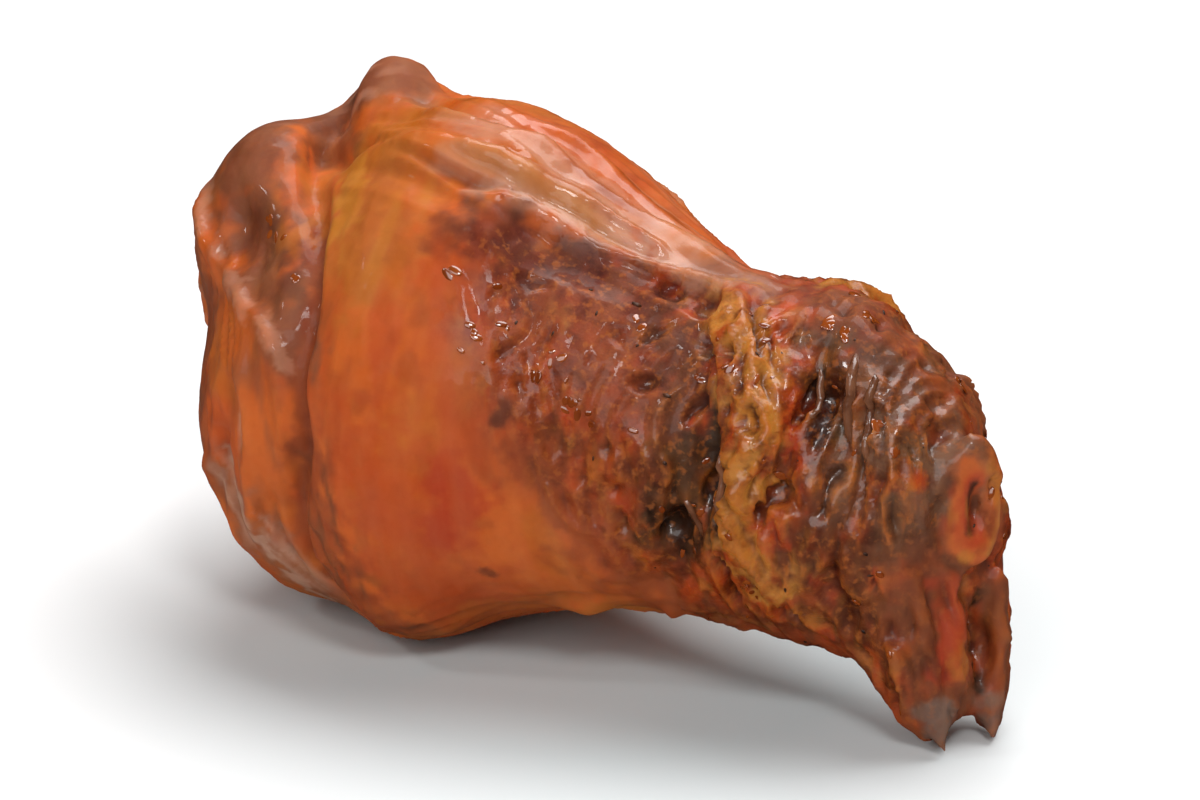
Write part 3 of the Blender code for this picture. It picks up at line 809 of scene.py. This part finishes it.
def baked(thing, name):
    """The object's mesh with its modifiers applied. The object itself is removed."""
    graph = bpy.context.evaluated_depsgraph_get()
    mesh = bpy.data.meshes.new_from_object(thing.evaluated_get(graph))
    mesh.name = name
    bpy.data.objects.remove(thing, do_unlink=True)
    return mesh


def remeshed(mesh, name, grain, relax):
    """One even skin round everything in the mesh, with faces of the grain's size in mm."""
    thing = new_object(name + "_block", mesh)
    fuse = thing.modifiers.new("fuse", "REMESH")
    fuse.mode = "VOXEL"
    fuse.voxel_size = grain * MM
    fuse.use_smooth_shade = True
    ease = thing.modifiers.new("ease", "SMOOTH")
    ease.factor = 0.5
    ease.iterations = relax
    return baked(thing, name)


def smooth_block(source):
    """The CAD solid's form with its facets rounded off, as a bmesh."""
    shape = bmesh.new()
    shape.from_mesh(source)
    bmesh.ops.remove_doubles(shape, verts=shape.verts, dist=0.01 * MM)
    bmesh.ops.join_triangles(
        shape, faces=shape.faces, angle_face_threshold=JOIN_ANGLE, angle_shape_threshold=JOIN_ANGLE
    )
    thing = new_object("wing_block", mesh_of(shape, "wing_block"))
    round_off = thing.modifiers.new("round_off", "SUBSURF")
    round_off.levels = round_off.render_levels = 2
    mesh = baked(thing, "wing_block")
    shape = bmesh.new()
    shape.from_mesh(mesh)
    bpy.data.meshes.remove(mesh)
    return shape


def at(point):
    """The move to a point given in mm."""
    return Matrix.Translation(Vector(point) * MM)


def add_ball(shape, stand, half_sizes, subdivisions=4):
    """A ball drawn out to its half sizes, in mm, and stood in its place."""
    ball = bmesh.ops.create_icosphere(shape, subdivisions=subdivisions, radius=1.0)["verts"]
    size = Matrix.Diagonal((*[half * MM for half in half_sizes], 1.0))
    bmesh.ops.transform(shape, matrix=stand @ size, verts=ball)


def add_ring(shape, middle, half_y, half_z, tube, swing):
    """A ring whose section is spun round X, made oval and swung about Z by some degrees."""
    before = set(shape.verts)
    section = bmesh.ops.create_circle(shape, segments=12, radius=tube)["verts"]
    bmesh.ops.translate(shape, verts=section, vec=(0.0, half_y, 0.0))
    edges = list({edge for vert in section for edge in vert.link_edges})
    bmesh.ops.spin(
        shape, geom=section + edges, cent=(0, 0, 0), axis=(1, 0, 0), angle=math.tau, steps=32,
        use_merge=True,
    )
    ring = [vert for vert in shape.verts if vert not in before]
    oval = Matrix.Diagonal((1.0, 1.0, half_z / half_y, 1.0))
    turn = Matrix.Rotation(math.radians(swing), 4, "Z")
    move = Matrix.Scale(MM, 4) @ Matrix.Translation(middle) @ turn
    bmesh.ops.transform(shape, matrix=move @ oval, verts=ring)


def add_roll(shape, points, radii, sides=10):
    """A roll through the points, in mm, closed at both ends."""
    rings = []
    for i, (point, radius) in enumerate(zip(points, radii)):
        before, after = Vector(points[max(i - 1, 0)]), Vector(points[min(i + 1, len(points) - 1)])
        turn = (after - before).to_track_quat("Z", "X").to_matrix().to_4x4()
        verts = bmesh.ops.create_circle(shape, segments=sides, radius=radius * MM)["verts"]
        bmesh.ops.transform(shape, matrix=at(point) @ turn, verts=verts)
        rings.append(list({edge for vert in verts for edge in vert.link_edges}))
    for near, far in zip(rings, rings[1:]):
        bmesh.ops.bridge_loops(shape, edges=near + far)
    for end in (rings[0], rings[-1]):
        bmesh.ops.contextual_create(shape, geom=end)


# -------------------------------------------------------------------------------------------------
# The wing
# -------------------------------------------------------------------------------------------------
# The gristle ring round the end of the bone, and the nub of bone inside it, in mm and degrees
RING = {"middle": (35.0, -0.9, 21.0), "half_y": 1.6, "half_z": 3.7, "tube": 1.3, "swing": -38}
NUB = ((34.3, -0.5, 21.0), (1.7, 2.7, 4.4))

# Rolls of skin and gristle joined to the block before it is sculpted: name, points and the radius
# at each, in mm
ROLLS = (
    ("flap_edge", ((32.2, -5.2, 17.0), (33.0, -5.1, 12.0), (33.8, -4.4, 7.0), (34.8, -3.8, 1.0)),
     (0.8, 1.0, 0.9, 0.5)),
    ("flap_inner", ((34.7, -2.0, 15.0), (35.0, -2.2, 10.0), (35.1, -2.4, 5.6), (34.9, -3.0, 2.6)),
     (0.7, 0.9, 0.8, 0.5)),
    ("heel_edge", ((35.9, 2.6, 15.0), (36.3, 2.6, 10.0), (36.4, 2.2, 5.0), (36.3, 1.6, 0.9)),
     (0.7, 0.8, 0.9, 0.6)),
    ("tip_front", ((34.0, -4.0, 3.6), (34.5, -4.0, 2.0), (35.1, -3.9, 0.35)), (0.8, 0.6, 0.35)),
    ("tip_heel", ((36.3, 1.4, 4.0), (36.6, 1.0, 2.0), (37.1, 0.5, 0.35)), (0.8, 0.6, 0.35)),
    ("left_rag", ((31.6, -6.2, 10.0), (32.2, -6.4, 7.4), (32.0, -6.2, 5.4)), (1.1, 0.8, 0.4)),
)

# Lumps of the shoulder joint's gristle: middle and half sizes in mm
GRISTLE = (
    ((-34.6, -1.4, 21.2), (2.2, 3.3, 2.9)),
    ((-34.5, 2.3, 23.3), (2.1, 2.3, 2.7)),
    ((-34.0, 0.6, 18.4), (1.9, 2.7, 1.9)),
    ((-34.2, -0.6, 25.2), (1.5, 1.6, 1.5)),
)
GRISTLE_DENTS = 0.22  # mm
GRISTLE_DENT_SIZES = (1.8, 0.6)  # mm, broad and fine
GRISTLE_FINE_SHARE = 0.3  # how deep the fine dents are beside the broad ones


def rough_wing():
    """The wing's block with the ring, the nub and the rolls joined to it."""
    shape = smooth_block(WING_NODE.data)
    add_ring(shape, **RING)
    middle, half_sizes = NUB
    add_ball(shape, at(middle), half_sizes)
    for _, points, radii in ROLLS:
        add_roll(shape, points, radii)
    bmesh.ops.recalc_face_normals(shape, faces=shape.faces)
    return remeshed(mesh_of(shape, "wing_rough"), "wing_rough", ROUGH_GRAIN, relax=3)


def sculpted_wing(look):
    """The wing's mesh with its folds, its grain, its torn meat and the sauce's colours."""
    mesh = rough_wing()
    press_folds(Skin(mesh), look.fold_depth)
    mesh = remeshed(mesh, "wing_skin", look.skin_grain, relax=3)
    skin = Skin(mesh)
    torn = torn_share(skin)
    moves = grain_relief(skin) + meat_relief(skin, torn, look.meat_depth)
    skin.points += skin.normals * moves[:, None]
    skin.points[:, 2] = np.maximum(skin.points[:, 2], 0.0)
    skin.write()
    colours = dict(COLOURS, orange=look.orange, amber=look.amber, red_brown=look.red_brown)
    store(mesh, "sauce_and_painted_light", "FLOAT_COLOR", painted(skin, torn, colours))
    store(mesh, "torn", "FLOAT", torn)
    store(mesh, "wet", "FLOAT", wetness(skin, torn))
    mesh.materials.clear()
    mesh.shade_smooth()
    return mesh


def shoulder_gristle():
    """The knobbly end of the shoulder joint, in the hollow of the meat end."""
    shape = bmesh.new()
    for middle, half_sizes in GRISTLE:
        add_ball(shape, at(middle), half_sizes)
    mesh = remeshed(mesh_of(shape, "gristle"), "shoulder_gristle", GRISTLE_GRAIN, relax=4)
    skin = Skin(mesh)
    broad, fine = GRISTLE_DENT_SIZES
    dents = noise_field(skin.points, broad, SEEDS["gristle"], 2)
    dents += GRISTLE_FINE_SHARE * noise_field(skin.points, fine, SEEDS["gristle_fine"])
    skin.points += skin.normals * (GRISTLE_DENTS * dents)[:, None]
    skin.write()
    mesh.materials.clear()
    finished_piece("shoulder_gristle", mesh, bone_gristle())


# -------------------------------------------------------------------------------------------------
# Materials
# -------------------------------------------------------------------------------------------------
def new_material(name, **values):
    """A material whose shader's own sockets hold the values, and its nodes and links."""
    material = bpy.data.materials.new(name)
    material.use_nodes = True
    tree = material.node_tree
    shader = tree.nodes["Principled BSDF"]
    for socket, value in values.items():
        shader.inputs[socket.replace("_", " ").title().replace("Ior", "IOR")].default_value = value
    return material, tree, shader


def texture_noise(tree, scale, detail, stretch=(1.0, 1.0, 1.0), roughness=0.55):
    """Noise on the piece's own coordinates. The scale is in lumps for each metre."""
    place = tree.nodes.new("ShaderNodeTexCoord")
    mapping = tree.nodes.new("ShaderNodeMapping")
    mapping.inputs["Scale"].default_value = stretch
    texture = tree.nodes.new("ShaderNodeTexNoise")
    texture.inputs["Scale"].default_value = scale
    texture.inputs["Detail"].default_value = detail
    texture.inputs["Roughness"].default_value = roughness
    tree.links.new(place.outputs["Object"], mapping.inputs["Vector"])
    tree.links.new(mapping.outputs["Vector"], texture.inputs["Vector"])
    return texture.outputs["Fac"]


def mapped(tree, value, low, high, out_low, out_high):
    """The value's range from low to high, moved to the other range."""
    node = tree.nodes.new("ShaderNodeMapRange")
    ranges = {"From Min": low, "From Max": high, "To Min": out_low, "To Max": out_high}
    for socket, number in ranges.items():
        node.inputs[socket].default_value = number
    tree.links.new(value, node.inputs["Value"])
    return node.outputs["Result"]


def patches(tree, scale, detail, start, full, least=0.0, most=1.0, stretch=(1.0, 1.0, 1.0)):
    """Patches of noise that are least up to its start value and most from its full value on."""
    return mapped(tree, texture_noise(tree, scale, detail, stretch), start, full, least, most)


def combined(tree, operation, first, second):
    """Two numbers worked into one. Either can be a socket or a constant."""
    node = tree.nodes.new("ShaderNodeMath")
    node.operation = operation
    for socket, value in zip(node.inputs, (first, second)):
        if isinstance(value, (int, float)):
            socket.default_value = value
        else:
            tree.links.new(value, socket)
    return node.outputs[0]


def mixed(tree, blend_type, factor, first, second):
    """A colour mix. Each of the three can be a socket or a constant."""
    node = tree.nodes.new("ShaderNodeMix")
    node.data_type = "RGBA"
    node.blend_type = blend_type
    for index, value in ((0, factor), (6, first), (7, second)):  # a colour mix uses these three
        if isinstance(value, (int, float)):
            node.inputs[index].default_value = value
        elif isinstance(value, tuple):
            node.inputs[index].default_value = (*value, 1.0)
        else:
            tree.links.new(value, node.inputs[index])
    return node.outputs[2]


def attribute(tree, name, output):
    """A value that the sculpting stored on the mesh."""
    node = tree.nodes.new("ShaderNodeAttribute")
    node.attribute_name = name
    return node.outputs[output]


def bumped(tree, shader, height, strength, distance):
    """Relief too fine for the mesh. The distance is in mm."""
    node = tree.nodes.new("ShaderNodeBump")
    node.inputs["Strength"].default_value = strength
    node.inputs["Distance"].default_value = distance * MM
    tree.links.new(height, node.inputs["Height"])
    tree.links.new(node.outputs["Normal"], shader.inputs["Normal"])


# Layers of colour in the glaze: name, mix, where, lumps for each metre, detail and stretch of the
# noise, noise where the layer starts and is full, strength, colour
GLAZE = (
    ("blotches", "MULTIPLY", "all", 240, 4, (1.0, 1.0, 1.0), (0.25, 0.75), 0.42, (0.72, 0.5, 0.42)),
    ("streaks", "SCREEN", "all", 420, 3, (1.0, 0.3, 0.3), (0.35, 0.8), 0.12, (0.5, 0.28, 0.12)),
    ("specks", "MULTIPLY", "torn", 720, 4, (1.0, 1.0, 1.0), (0.48, 0.68), 1.0, (0.38, 0.24, 0.18)),
    ("glints", "MIX", "torn", 1300, 2, (1.0, 1.0, 1.0), (0.55, 0.68), 0.6, (0.5, 0.13, 0.018)),
)
TORN_LAYERS = (0.1, 0.64)  # strength of the torn layers on whole skin and on torn meat
TORN_PORES = (0.14, 0.62)  # depth of the pores there
DRY_ROUGHNESS, WET_ROUGHNESS = 0.84, 0.34


def glazed_skin(look):
    """Skin and meat under a glaze of sauce, wetter and rougher where they are torn."""
    material, tree, shader = new_material(
        "glazed_skin",
        subsurface_weight=look.translucence,
        subsurface_scale=1.6 * MM,
        subsurface_radius=(1.0, 0.34, 0.1),
        specular_ior_level=0.3,
        coat_roughness=0.07,
        coat_ior=1.4,
    )
    torn, wet = attribute(tree, "torn", "Fac"), attribute(tree, "wet", "Fac")
    tone = attribute(tree, "sauce_and_painted_light", "Color")
    spread = mapped(tree, torn, 0.0, 1.0, *TORN_LAYERS)
    for _, mix, where, scale, detail, stretch, edge, strength, colour in GLAZE:
        if where == "torn":
            strength = combined(tree, "MULTIPLY", spread, strength)
        layer = patches(tree, scale, detail, *edge, stretch=stretch)
        tone = mixed(tree, mix, combined(tree, "MULTIPLY", layer, strength), tone, colour)
    tree.links.new(tone, shader.inputs["Base Color"])
    unevenness = patches(tree, 600, 3, 0.3, 0.7, -0.06, 0.06)
    dry = mapped(tree, wet, 0.0, 1.0, DRY_ROUGHNESS, WET_ROUGHNESS)
    tree.links.new(combined(tree, "ADD", unevenness, dry), shader.inputs["Roughness"])
    film = patches(tree, 380, 3, 0.4, 0.6, 0.3, 1.0)
    tree.links.new(combined(tree, "MULTIPLY", film, wet), shader.inputs["Coat Weight"])
    pores = texture_noise(tree, 1100, 4, roughness=0.6)
    depth = mapped(tree, torn, 0.0, 1.0, *TORN_PORES)
    bumped(tree, shader, combined(tree, "MULTIPLY", pores, depth), 0.8, 0.3)
    return material


def clear_sauce():
    """Thick glossy drops of sauce."""
    material, tree, shader = new_material(
        "sauce_drops", roughness=0.16, coat_weight=1.0, coat_roughness=0.05, coat_ior=1.6
    )
    shade = patches(tree, 300, 2, 0.35, 0.65)
    tone = mixed(tree, "MIX", shade, (0.19, 0.033, 0.005), (0.33, 0.07, 0.011))
    tree.links.new(tone, shader.inputs["Base Color"])
    return material


def bone_gristle():
    """Pale gristle, stained by the sauce in its dents."""
    material, tree, shader = new_material(
        "bone_gristle",
        specular_ior_level=0.4,
        coat_weight=0.4,
        coat_roughness=0.12,
        subsurface_weight=0.15,
        subsurface_scale=1.2 * MM,
        subsurface_radius=(1.0, 0.6, 0.3),
    )
    stain = patches(tree, 420, 4, 0.36, 0.6)
    tone = mixed(tree, "MIX", stain, (0.42, 0.19, 0.06), (0.25, 0.07, 0.014))
    deep = patches(tree, 900, 3, 0.52, 0.7, 0.0, 0.8)
    tone = mixed(tree, "MIX", deep, tone, (0.13, 0.03, 0.008))
    tree.links.new(tone, shader.inputs["Base Color"])
    tree.links.new(patches(tree, 700, 2, 0.3, 0.7, 0.3, 0.5), shader.inputs["Roughness"])
    bumped(tree, shader, texture_noise(tree, 1400, 4), 0.6, 0.2)
    return material


def charred():
    """Black pepper and char."""
    material, tree, shader = new_material("char_flecks", roughness=0.5, specular_ior_level=0.4)
    shade = patches(tree, 900, 2, 0.35, 0.65)
    tone = mixed(tree, "MIX", shade, (0.02, 0.007, 0.003), (0.09, 0.028, 0.01))
    tree.links.new(tone, shader.inputs["Base Color"])
    return material


def glossy_sinew():
    """Brown, wet sinew."""
    material, tree, shader = new_material(
        "glossy_sinew",
        roughness=0.24,
        coat_weight=0.6,
        coat_roughness=0.07,
        subsurface_weight=0.1,
        subsurface_scale=0.8 * MM,
        subsurface_radius=(1.0, 0.4, 0.2),
    )
    shade = patches(tree, 500, 3, 0.36, 0.64)
    tone = mixed(tree, "MIX", shade, (0.1, 0.03, 0.012), (0.22, 0.085, 0.04))
    tree.links.new(tone, shader.inputs["Base Color"])
    bumped(tree, shader, texture_noise(tree, 1500, 3), 0.5, 0.15)
    return material


# -------------------------------------------------------------------------------------------------
# Small things on the skin
# -------------------------------------------------------------------------------------------------
def finished_piece(name, mesh, material):
    """A piece on the wing with its material, which takes its finish from the slot."""
    mesh.shade_smooth()
    mesh.materials.append(material)
    thing = new_object(name, mesh)
    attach(thing, BODY)


def scattered(skin, weight, count, gap, draw):
    """Places on the skin, in mm, picked at random by weight and kept apart by the gap."""
    luck = np.array([draw.random() for _ in weight])
    order = np.argsort(-luck ** (1.0 / np.maximum(weight, 1e-6)))
    picked = []
    for index in order:
        point = skin.points[index]
        apart = (np.sum((point - other) ** 2) for other, _ in picked)
        if weight[index] > 0 and all(square > gap * gap for square in apart):
            picked.append((point, skin.normals[index]))
        if len(picked) == count:
            break
    return picked


def add_bead(shape, point, normal, half_sizes, draw, subdivisions):
    """A flat drop that lies on the skin, turned at random."""
    turn = Matrix.Rotation(draw.uniform(0, math.tau), 4, "Z")
    lie = Vector(normal).to_track_quat("Z", "X").to_matrix().to_4x4() @ turn
    add_ball(shape, at(point) @ lie, half_sizes, subdivisions)


def sauce_beads(skin, torn, count):
    """Small beads of sauce all over the torn meat, and groups of larger ones."""
    draw = random.Random(SEEDS["beads"])
    shape = bmesh.new()
    clusters = noise_field(skin.points, BEAD_CLUSTERS, SEEDS["clusters"])
    weight = torn * smooth_step(*BEAD_CLUSTER_EDGE, clusters)
    for point, normal in scattered(skin, weight, count, BEAD_GAP, draw):
        size = draw.uniform(*BEAD_SIZE) * draw.uniform(*BEAD_SHRINK)
        half_sizes = (size * draw.uniform(*BEAD_LENGTH), size, size * draw.uniform(*BEAD_HEIGHT))
        add_bead(shape, point, normal, half_sizes, draw, 2)
    for place, together in GLINTS:
        middle = skin.on_skin(place)
        for _ in range(together):
            shift = Vector([draw.uniform(-GLINT_SPREAD, GLINT_SPREAD) for _ in range(3)])
            point, normal = skin.tree.find_nearest(middle + shift)[:2]
            size = draw.uniform(*GLINT_SIZE)
            half_sizes = (size * draw.uniform(*GLINT_LENGTH), size, size * GLINT_HEIGHT)
            point -= normal * GLINT_SUNK * size
            add_bead(shape, point, normal, half_sizes, draw, 3)
    finished_piece("sauce_beads", mesh_of(shape, "sauce_beads"), clear_sauce())


def pepper_specks(skin, torn, count):
    """Specks of pepper and char in the torn meat."""
    draw = random.Random(SEEDS["specks"])
    shape = bmesh.new()
    for point, normal in scattered(skin, torn, count, SPECK_GAP, draw):
        size = draw.uniform(*SPECK_SIZE)
        half_sizes = (size * draw.uniform(*SPECK_LENGTH), size, size * SPECK_HEIGHT)
        add_bead(shape, point, normal, half_sizes, draw, 1)
    finished_piece("pepper_specks", mesh_of(shape, "pepper_specks"), charred())


def sinews(skin, stand_out):
    """Strings of sinew that lie in the hollows round the bone and sink in at both ends."""
    draw = random.Random(SEEDS["sinews"])
    shape = bmesh.new()
    for places, radius in SINEWS:
        line = skin.path(places, SINEW_STEP)
        points, radii = [], []
        for i, step in enumerate(line):
            surface, facing = skin.tree.find_nearest(Vector(step))[:2]
            swell = math.sin(math.pi * (i + 0.5) / len(line))
            arch = 1.7 * min(swell * 1.6, 1.0) - 1.3  # in radii: sunk at the ends, proud between
            rise = radius * stand_out * arch * draw.uniform(0.7, 1.3)
            points.append(tuple(surface + facing * rise))
            radii.append(radius * (0.6 + 0.4 * swell) * draw.uniform(0.85, 1.15))
        add_roll(shape, points, radii, SINEW_SIDES)
    bmesh.ops.recalc_face_normals(shape, faces=shape.faces)
    finished_piece("sinews", mesh_of(shape, "sinews"), glossy_sinew())


# -------------------------------------------------------------------------------------------------
# Studio
# -------------------------------------------------------------------------------------------------
def aimed(thing, place):
    """Put a light or the camera in its place, facing the wing."""
    thing.location = place
    thing.rotation_euler = (Vector(AIM) - Vector(place)).to_track_quat("-Z", "Y").to_euler()
    bpy.context.scene.collection.objects.link(thing)


def soft_light(name, place, size, watts):
    """A rectangular light that faces the wing."""
    light = bpy.data.lights.new(name, "AREA")
    light.shape = "RECTANGLE"
    light.size, light.size_y = size
    light.energy = watts
    aimed(bpy.data.objects.new(name, light), place)


def pale_floor():
    """A pale table top that fades into the white round it, with a painted shadow under the wing."""
    shape = bmesh.new()
    bmesh.ops.create_grid(shape, x_segments=1, y_segments=1, size=FLOOR_FADE[1])
    floor = new_object("floor", mesh_of(shape, "floor"))
    material, tree, shader = new_material("pale_floor", roughness=0.9, specular_ior_level=0.1)
    place = tree.nodes.new("ShaderNodeTexCoord")
    away = tree.nodes.new("ShaderNodeVectorMath")
    away.operation = "LENGTH"
    tree.links.new(place.outputs["Object"], away.inputs[0])
    left = mapped(tree, away.outputs["Value"], *FLOOR_FADE, 1.0, 0.0)
    tree.links.new(left, shader.inputs["Alpha"])
    pale = mixed(tree, "MIX", patches(tree, 3, 2, 0.3, 0.7), *FLOOR_TONES)
    # Painted shadow: the floor darkens towards the wing
    close = mapped(tree, away.outputs["Value"], *FLOOR_SHADOW, 1.0, 0.0)
    tone = mixed(tree, "MULTIPLY", close, pale, FLOOR_SHADOW_TONE)
    tree.links.new(tone, shader.inputs["Base Color"])
    floor.data.materials.append(material)
    floor.location.z = -FLOOR_DROP * MM
    floor.visible_glossy = False


def studio_light(power):
    """The soft lights, and white surroundings that only the camera sees."""
    for name, place, size, watts in LIGHTS:
        soft_light(name, place, size, watts * power)
    world = bpy.data.worlds.new("studio")
    world.use_nodes = True
    surroundings = world.node_tree.nodes["Background"]
    surroundings.inputs["Color"].default_value = (1.0, 1.0, 1.0, 1.0)
    surroundings.inputs["Strength"].default_value = 1.0
    world.cycles_visibility.diffuse = False
    world.cycles_visibility.glossy = False
    bpy.context.scene.world = world
    bpy.context.scene.view_settings.view_transform = "Standard"


def studio_camera(azimuth, elevation):
    """The camera, swung towards +X and raised by the two angles in degrees."""
    camera = bpy.data.cameras.new("camera")
    camera.sensor_width = 36.0
    camera.lens = camera.sensor_width * CAMERA_DISTANCE / CAMERA_FIELD
    camera.clip_start = 0.01
    swing, raised = math.radians(azimuth), math.radians(elevation)
    level = math.cos(raised)
    way = Vector((math.sin(swing) * level, -math.cos(swing) * level, math.sin(raised)))
    thing = bpy.data.objects.new("camera", camera)
    aimed(thing, Vector(AIM) + way * CAMERA_DISTANCE)
    bpy.context.scene.camera = thing


# -------------------------------------------------------------------------------------------------
# The add-on
# -------------------------------------------------------------------------------------------------
def colour_property(name, description, default):
    """A colour that the panel shows as a swatch."""
    return FloatVectorProperty(
        name=name, description=description, default=default, size=3, min=0.0, max=1.0,
        subtype="COLOR",
    )


def factor_property(name, description, default, most):
    """A share or a multiple, from nothing to the most."""
    return FloatProperty(
        name=name, description=description, default=default, min=0.0, max=most, subtype="FACTOR"
    )


class DrumetteLook(bpy.types.PropertyGroup):
    """Sizes, amounts and colours that a cook might change."""

    skin_grain: FloatProperty(
        name="Skin grain", description="Edge length of the finished skin's faces, in mm",
        default=0.38, min=0.25, max=1.0,
    )
    fold_depth: factor_property("Fold depth", "How strongly the folds are pressed in", 1.0, 2.0)
    meat_depth: factor_property("Meat depth", "How rough the torn meat is", 1.0, 2.0)
    translucence: factor_property("Translucence", "How much light goes into the skin", 0.16, 1.0)
    orange: colour_property("Orange", "The sauce on most of the skin", COLOURS["orange"])
    amber: colour_property("Amber", "The sauce where the skin is plump and thin", COLOURS["amber"])
    red_brown: colour_property("Red brown", "The sauce on torn meat", COLOURS["red_brown"])
    bead_count: IntProperty(
        name="Beads", description="Beads of sauce in the torn meat", default=80, min=0, max=600
    )
    speck_count: IntProperty(
        name="Specks", description="Specks of pepper and char", default=60, min=0, max=600
    )
    sinew_rise: factor_property("Sinew rise", "How far the sinews stand out of the meat", 1.0, 2.0)
    camera_azimuth: FloatProperty(
        name="Camera azimuth", description="Degrees that the camera is swung towards +X",
        default=33.0,
    )
    camera_elevation: FloatProperty(
        name="Camera elevation", description="Degrees that the camera looks down", default=22.0
    )
    light_power: factor_property("Light", "Power of all the lights", 1.0, 10.0)


def finished_skin():
    """The sculpted wing as arrays, and how torn it is, read back from its piece."""
    wing = bpy.data.objects.get("wing_skin")
    if wing is None:
        raise RuntimeError("Make the wing's skin first")
    torn = np.empty(len(wing.data.vertices), dtype=np.float32)
    wing.data.attributes["torn"].data.foreach_get("value", torn)
    return Skin(wing.data), torn.astype(float)


class DRUMETTE_OT_skin(bpy.types.Operator):
    """Sculpt and sauce the drumette's skin and meat"""

    bl_idname = "drumette.skin"
    bl_label = "Skin and meat"

    def execute(self, context):
        look = context.scene.drumette_look
        mesh = sculpted_wing(look)
        mesh.materials.append(glazed_skin(look))
        wing = new_object("wing_skin", mesh)
        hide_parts("wing")
        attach(wing, BODY)
        return {"FINISHED"}


class DRUMETTE_OT_gristle(bpy.types.Operator):
    """Set the gristle of the shoulder joint in the meat end"""

    bl_idname = "drumette.gristle"
    bl_label = "Shoulder gristle"

    def execute(self, context):
        shoulder_gristle()
        return {"FINISHED"}


class DRUMETTE_OT_sinews(bpy.types.Operator):
    """Lay the strings of sinew round the bone"""

    bl_idname = "drumette.sinews"
    bl_label = "Sinews"

    def execute(self, context):
        skin, _ = finished_skin()
        sinews(skin, context.scene.drumette_look.sinew_rise)
        return {"FINISHED"}


class DRUMETTE_OT_sauce(bpy.types.Operator):
    """Add the beads of sauce"""

    bl_idname = "drumette.sauce"
    bl_label = "Sauce beads"

    def execute(self, context):
        sauce_beads(*finished_skin(), context.scene.drumette_look.bead_count)
        return {"FINISHED"}


class DRUMETTE_OT_specks(bpy.types.Operator):
    """Add the specks of pepper and char"""

    bl_idname = "drumette.specks"
    bl_label = "Pepper and char"

    def execute(self, context):
        pepper_specks(*finished_skin(), context.scene.drumette_look.speck_count)
        return {"FINISHED"}


class DRUMETTE_OT_stage(bpy.types.Operator):
    """Lay the pale floor, light it and place the camera"""

    bl_idname = "drumette.stage"
    bl_label = "Studio"

    def execute(self, context):
        look = context.scene.drumette_look
        pale_floor()
        studio_light(look.light_power)
        studio_camera(look.camera_azimuth, look.camera_elevation)
        return {"FINISHED"}


class DRUMETTE_PT_panel(bpy.types.Panel):
    """The drumette's sizes and the steps that make it"""

    bl_idname = "DRUMETTE_PT_panel"
    bl_label = "Sauced drumette"
    bl_space_type = "VIEW_3D"
    bl_region_type = "UI"
    bl_category = "Drumette"

    def draw(self, context):
        look = context.scene.drumette_look
        for name in DrumetteLook.__annotations__:
            self.layout.prop(look, name)
        for step in STEPS:
            self.layout.operator(step.bl_idname)


STEPS = (
    DRUMETTE_OT_skin,
    DRUMETTE_OT_gristle,
    DRUMETTE_OT_sinews,
    DRUMETTE_OT_sauce,
    DRUMETTE_OT_specks,
    DRUMETTE_OT_stage,
)
CLASSES = (DrumetteLook, *STEPS, DRUMETTE_PT_panel)


def register():
    """Add the settings, the operators and the panel."""
    for kind in CLASSES:
        bpy.utils.register_class(kind)
    bpy.types.Scene.drumette_look = PointerProperty(type=DrumetteLook)


def unregister():
    """Take them away again."""
    del bpy.types.Scene.drumette_look
    for kind in reversed(CLASSES):
        bpy.utils.unregister_class(kind)


def main():
    """Make the drumette and its studio."""
    register()
    bpy.ops.drumette.skin()
    bpy.ops.drumette.gristle()
    bpy.ops.drumette.sinews()
    bpy.ops.drumette.sauce()
    bpy.ops.drumette.specks()
    bpy.ops.drumette.stage()


if __name__ == "__main__":
    main()
